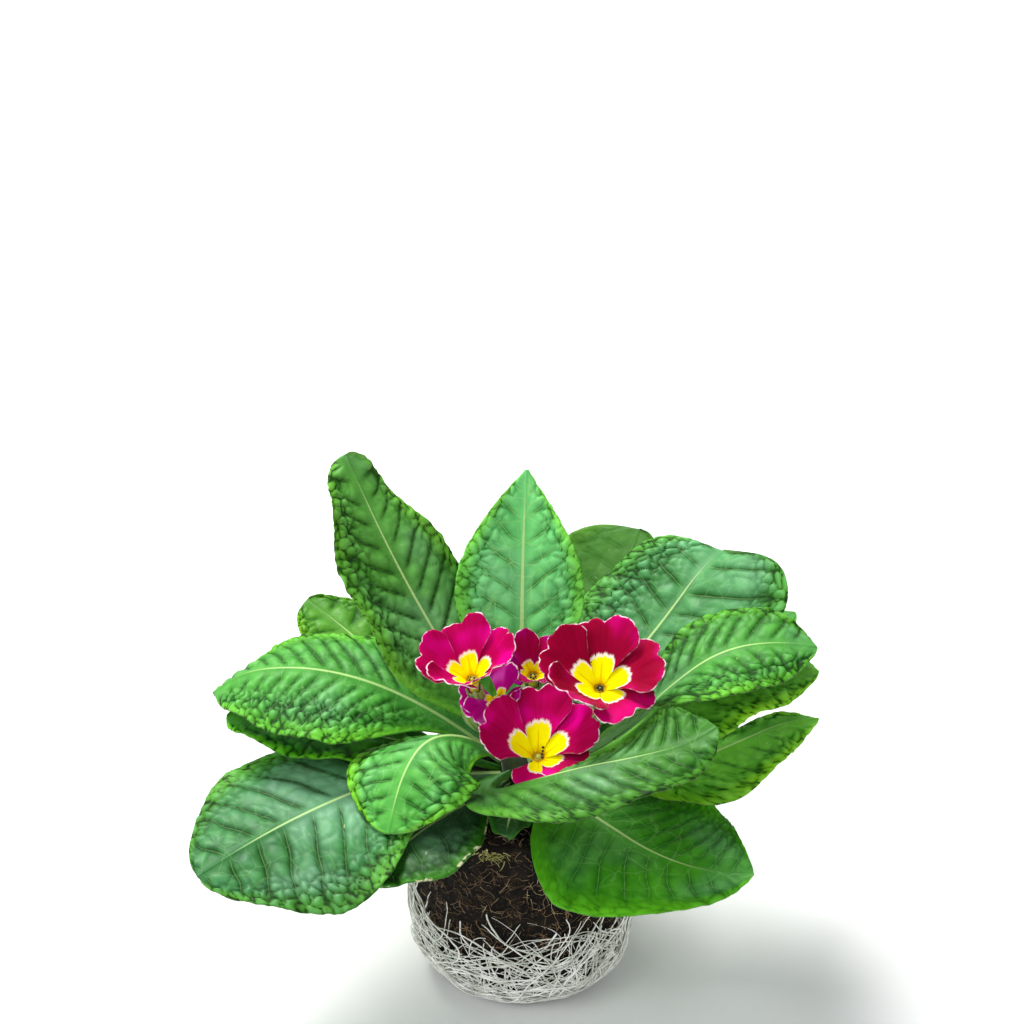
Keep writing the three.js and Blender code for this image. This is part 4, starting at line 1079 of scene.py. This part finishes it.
def white_roots():
    rng = random.Random(5)
    paths = []

    def run(angle, z, heading, length, radius, lift, wander):
        path, curl = [], 0.0
        steps = max(round(length / ROOT_STEP), 3)
        for k in range(steps):
            path.append((on_wall(angle, z, lift), radius * (1 - 0.6 * (k / steps) ** 2)))
            curl = 0.7 * curl + rng.gauss(0, wander)
            heading += curl
            angle += ROOT_STEP * math.cos(heading) / max(wall_radius(max(z, 2)), 20)
            z = max(z + ROOT_STEP * math.sin(heading), 1.2)
            lift = clamp(lift + rng.gauss(0, 0.22), 0.2, 3.2)
            if z < 2.5:
                heading = abs(heading) * 0.3 if math.cos(heading) > 0 else math.pi - 0.3
            if z > ROOT_TOP:
                break
        if len(path) > 2:
            paths.append(path)

    def around_ball():
        return rng.uniform(0, 2 * math.pi)

    for _ in range(350):  # round the foot
        way = rng.choice((0.12, math.pi - 0.12)) + rng.gauss(0, 0.32)
        run(around_ball(), 1.5 + 34 * rng.random() ** 1.9, way, rng.uniform(26, 70),
            rng.uniform(0.2, 0.46), rng.uniform(0.6, 2.8), 0.09)
    for _ in range(70):  # a thick skein on the right
        run(math.radians(rng.uniform(-75, 5)), 4 + 36 * rng.random(), -2.2 + rng.gauss(0, 0.4),
            rng.uniform(20, 50), rng.uniform(0.2, 0.42), rng.uniform(0.6, 3.0), 0.07)
    for _ in range(200):  # down the wall
        run(around_ball(), 48 - 34 * rng.random() ** 0.6, -math.pi / 2 + rng.gauss(0, 0.6),
            rng.uniform(20, 48), rng.uniform(0.2, 0.42), rng.uniform(0.3, 1.6), 0.13)
    for _ in range(260):  # short side roots
        run(around_ball(), rng.uniform(4, 46) * rng.uniform(0.4, 1), rng.uniform(-math.pi, math.pi),
            rng.uniform(8, 20), rng.uniform(0.14, 0.26), rng.uniform(0.5, 2.6), 0.12)
    return paths


ROOT_WHITE = thread_finish("root_white", (214, 216, 206), (255, 255, 250))
lay_threads("white_roots", white_roots(), ROOT_WHITE, ["root_mat"])

# %% [markdown]
# The fibres of the peat are the brown remains of older roots and moss. They lie in all directions,
# most of them dark and a few the colour of straw, and some lie on the top of the ball.

# %% Peat fibres
FIBRE_LIFT = 0.5  # millimetres off the wall


def fibres(count, seed, low, length, radius, top_share=0.15):
    """Paths on the wall from the height low up to the rim; top_share of them lie on the top."""
    rng = random.Random(seed)
    paths = []
    for _ in range(count):
        angle = rng.uniform(0, 2 * math.pi)
        steps = rng.randint(4, 7)
        size = rng.uniform(*length) / steps
        heading = rng.uniform(-math.pi, math.pi)
        thickness = rng.uniform(*radius)
        path = []
        if rng.random() < top_share:
            spot = Vector((rng.uniform(30, 48), 0, BALL_HEIGHT - 0.6 + rng.uniform(0, 1.2)))
            spot.rotate(Matrix.Rotation(angle, 3, "Z"))
            for _ in range(steps):
                path.append((spot.copy(), thickness))
                heading += rng.gauss(0, 0.4)
                spot += Vector((math.cos(heading), math.sin(heading), rng.gauss(0, 0.15))) * size
                spot.z = max(spot.z, BALL_RIM)
                if spot.xy.length > 48.5:
                    break
        else:
            z = rng.uniform(low, BALL_RIM - 1)
            out = rng.uniform(0, FIBRE_LIFT) + 0.3
            for k in range(steps):
                path.append((on_wall(angle, z, out), thickness * (1 - 0.5 * k / steps)))
                heading += rng.gauss(0, 0.3)
                angle += size * math.cos(heading) / wall_radius(z)
                z = clamp(z + size * math.sin(heading), 3, BALL_RIM - 2)
                out = clamp(out + rng.gauss(0, 0.5), 0.1, FIBRE_LIFT + 1.4)
        if len(path) > 2:
            paths.append(path)
    return paths


FIBRE_DARK = thread_finish("fibre_brown", (64, 48, 34), (158, 128, 98), rough=0.85)
FIBRE_STRAW = thread_finish("fibre_straw", (116, 98, 70), (184, 164, 124), rough=0.8)
lay_threads("peat_fibres_dark", fibres(2300, 3, 30, (3, 9), (0.07, 0.16)), FIBRE_DARK)
lay_threads("peat_fibres_straw", fibres(420, 8, 38, (3, 11), (0.08, 0.15), 0.25), FIBRE_STRAW)

# %% [markdown]
# A pale tuft of dry moss sits on the wall just under the rim. Its strands start close together and
# grow out in short steps, each a little off the last one's way.

# %% Moss
def moss_tuft():
    rng = random.Random(14)
    paths = []
    for _ in range(34):
        angle = math.radians(rng.gauss(-106, 4))
        spot = on_wall(angle, rng.gauss(83, 1.6), 0.6)
        heading = Vector((rng.gauss(0, 1), rng.gauss(-0.5, 0.3), rng.gauss(0.1, 0.7))).normalized()
        path = []
        for k in range(5):
            path.append((spot.copy(), 0.24 * (1 - 0.15 * k)))
            heading = (heading + Vector((rng.gauss(0, 0.3), 0, rng.gauss(0, 0.3)))).normalized()
            spot += heading * rng.uniform(0.7, 1.4)
        paths.append(path)
    return paths


MOSS = thread_finish("dry_moss", (134, 132, 70), (206, 202, 136))
lay_threads("moss_tuft", moss_tuft(), MOSS)

# %% [markdown]
# A pale floor, a soft sky and three broad lamps light the plant. The high lamp stands for an
# overcast sky, and the front lamp keeps the root ball from sinking into shade. The wide bluish
# shine on the domes of the leaves is partly the lamps on their glossy coat and partly a sheen
# painted in the leaf finish.

# %% Floor and light
SKY_COLOUR = (0.95, 0.97, 1.0, 1)
SKY_STRENGTH = 0.5
LAMPS = [  # name, azimuth, height and width in degrees, strength, colour
    ("high_light", 125, 58, 24, 3.4, (1.0, 1.0, 0.97)),
    ("side_light", -150, 40, 40, 1.0, (0.97, 0.99, 1.0)),
    ("front_light", -84, 10, 60, 0.6, (1.0, 1.0, 1.0)),
]


def lay_floor():
    bm = bmesh.new()
    bmesh.ops.create_grid(bm, x_segments=1, y_segments=1, size=3)
    mesh = bpy.data.meshes.new("floor")
    bm.to_mesh(mesh)
    bm.free()
    floor = bpy.data.objects.new("floor", mesh)
    SCENE.objects.link(floor)
    paper = Finish("floor_paper", Roughness=0.9, Specular_IOR_Level=0.2)
    mesh.materials.append(paper.paint(paper.mix(paper.cloud(3), (238, 238, 238), (243, 243, 243))))
    floor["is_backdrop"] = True


def hang_sun(name, azimuth, height, angle, strength, colour):
    data = bpy.data.lights.new(name, "SUN")
    data.angle, data.energy, data.color = math.radians(angle), strength, colour
    sun = bpy.data.objects.new(name, data)
    sun.rotation_euler = (math.radians(90 - height), 0, math.radians(azimuth + 90))
    SCENE.objects.link(sun)


lay_floor()
world = bpy.data.worlds.new("pale_room")
bpy.context.scene.world = world
world.use_nodes = True
sky = world.node_tree.nodes["Background"].inputs
sky["Color"].default_value, sky["Strength"].default_value = SKY_COLOUR, SKY_STRENGTH
for lamp in LAMPS:
    hang_sun(*lamp)

# %% [markdown]
# The camera looks down on the plant from in front, about 27 degrees below level, with a long lens.

# %% Camera
SENSOR_MM = 36
PICTURE_PIXELS = 1024
FOCAL_PIXELS = 2195
CAMERA_PLACE = (0, -0.7461, 0.5963)
CAMERA_LOOKS_DOWN = 27.37
CAMERA_TURNS = 0.34


def set_camera():
    data = bpy.data.cameras.new("camera")
    data.sensor_width = SENSOR_MM
    data.lens = SENSOR_MM * FOCAL_PIXELS / PICTURE_PIXELS
    data.clip_start, data.clip_end = 0.05, 20
    camera = bpy.data.objects.new("camera", data)
    camera.location = CAMERA_PLACE
    camera.rotation_euler = (math.radians(90 - CAMERA_LOOKS_DOWN), 0, math.radians(CAMERA_TURNS))
    SCENE.objects.link(camera)
    bpy.context.scene.camera = camera
    print("lens in mm:", round(data.lens, 1))


set_camera()
bpy.context.scene.view_settings.view_transform = "Standard"

# %% [markdown]
# Both boxes are printed, the imported model's and the dressed plant's. The dressed plant has
# to stay as large as the imported model.

# %% Sizes
visual_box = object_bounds()
for name, box in (("packed", cad_box), ("dressed", visual_box)):
    print(name, "size in mm:", [round(1000 * (high - low), 1) for low, high in zip(*box)])
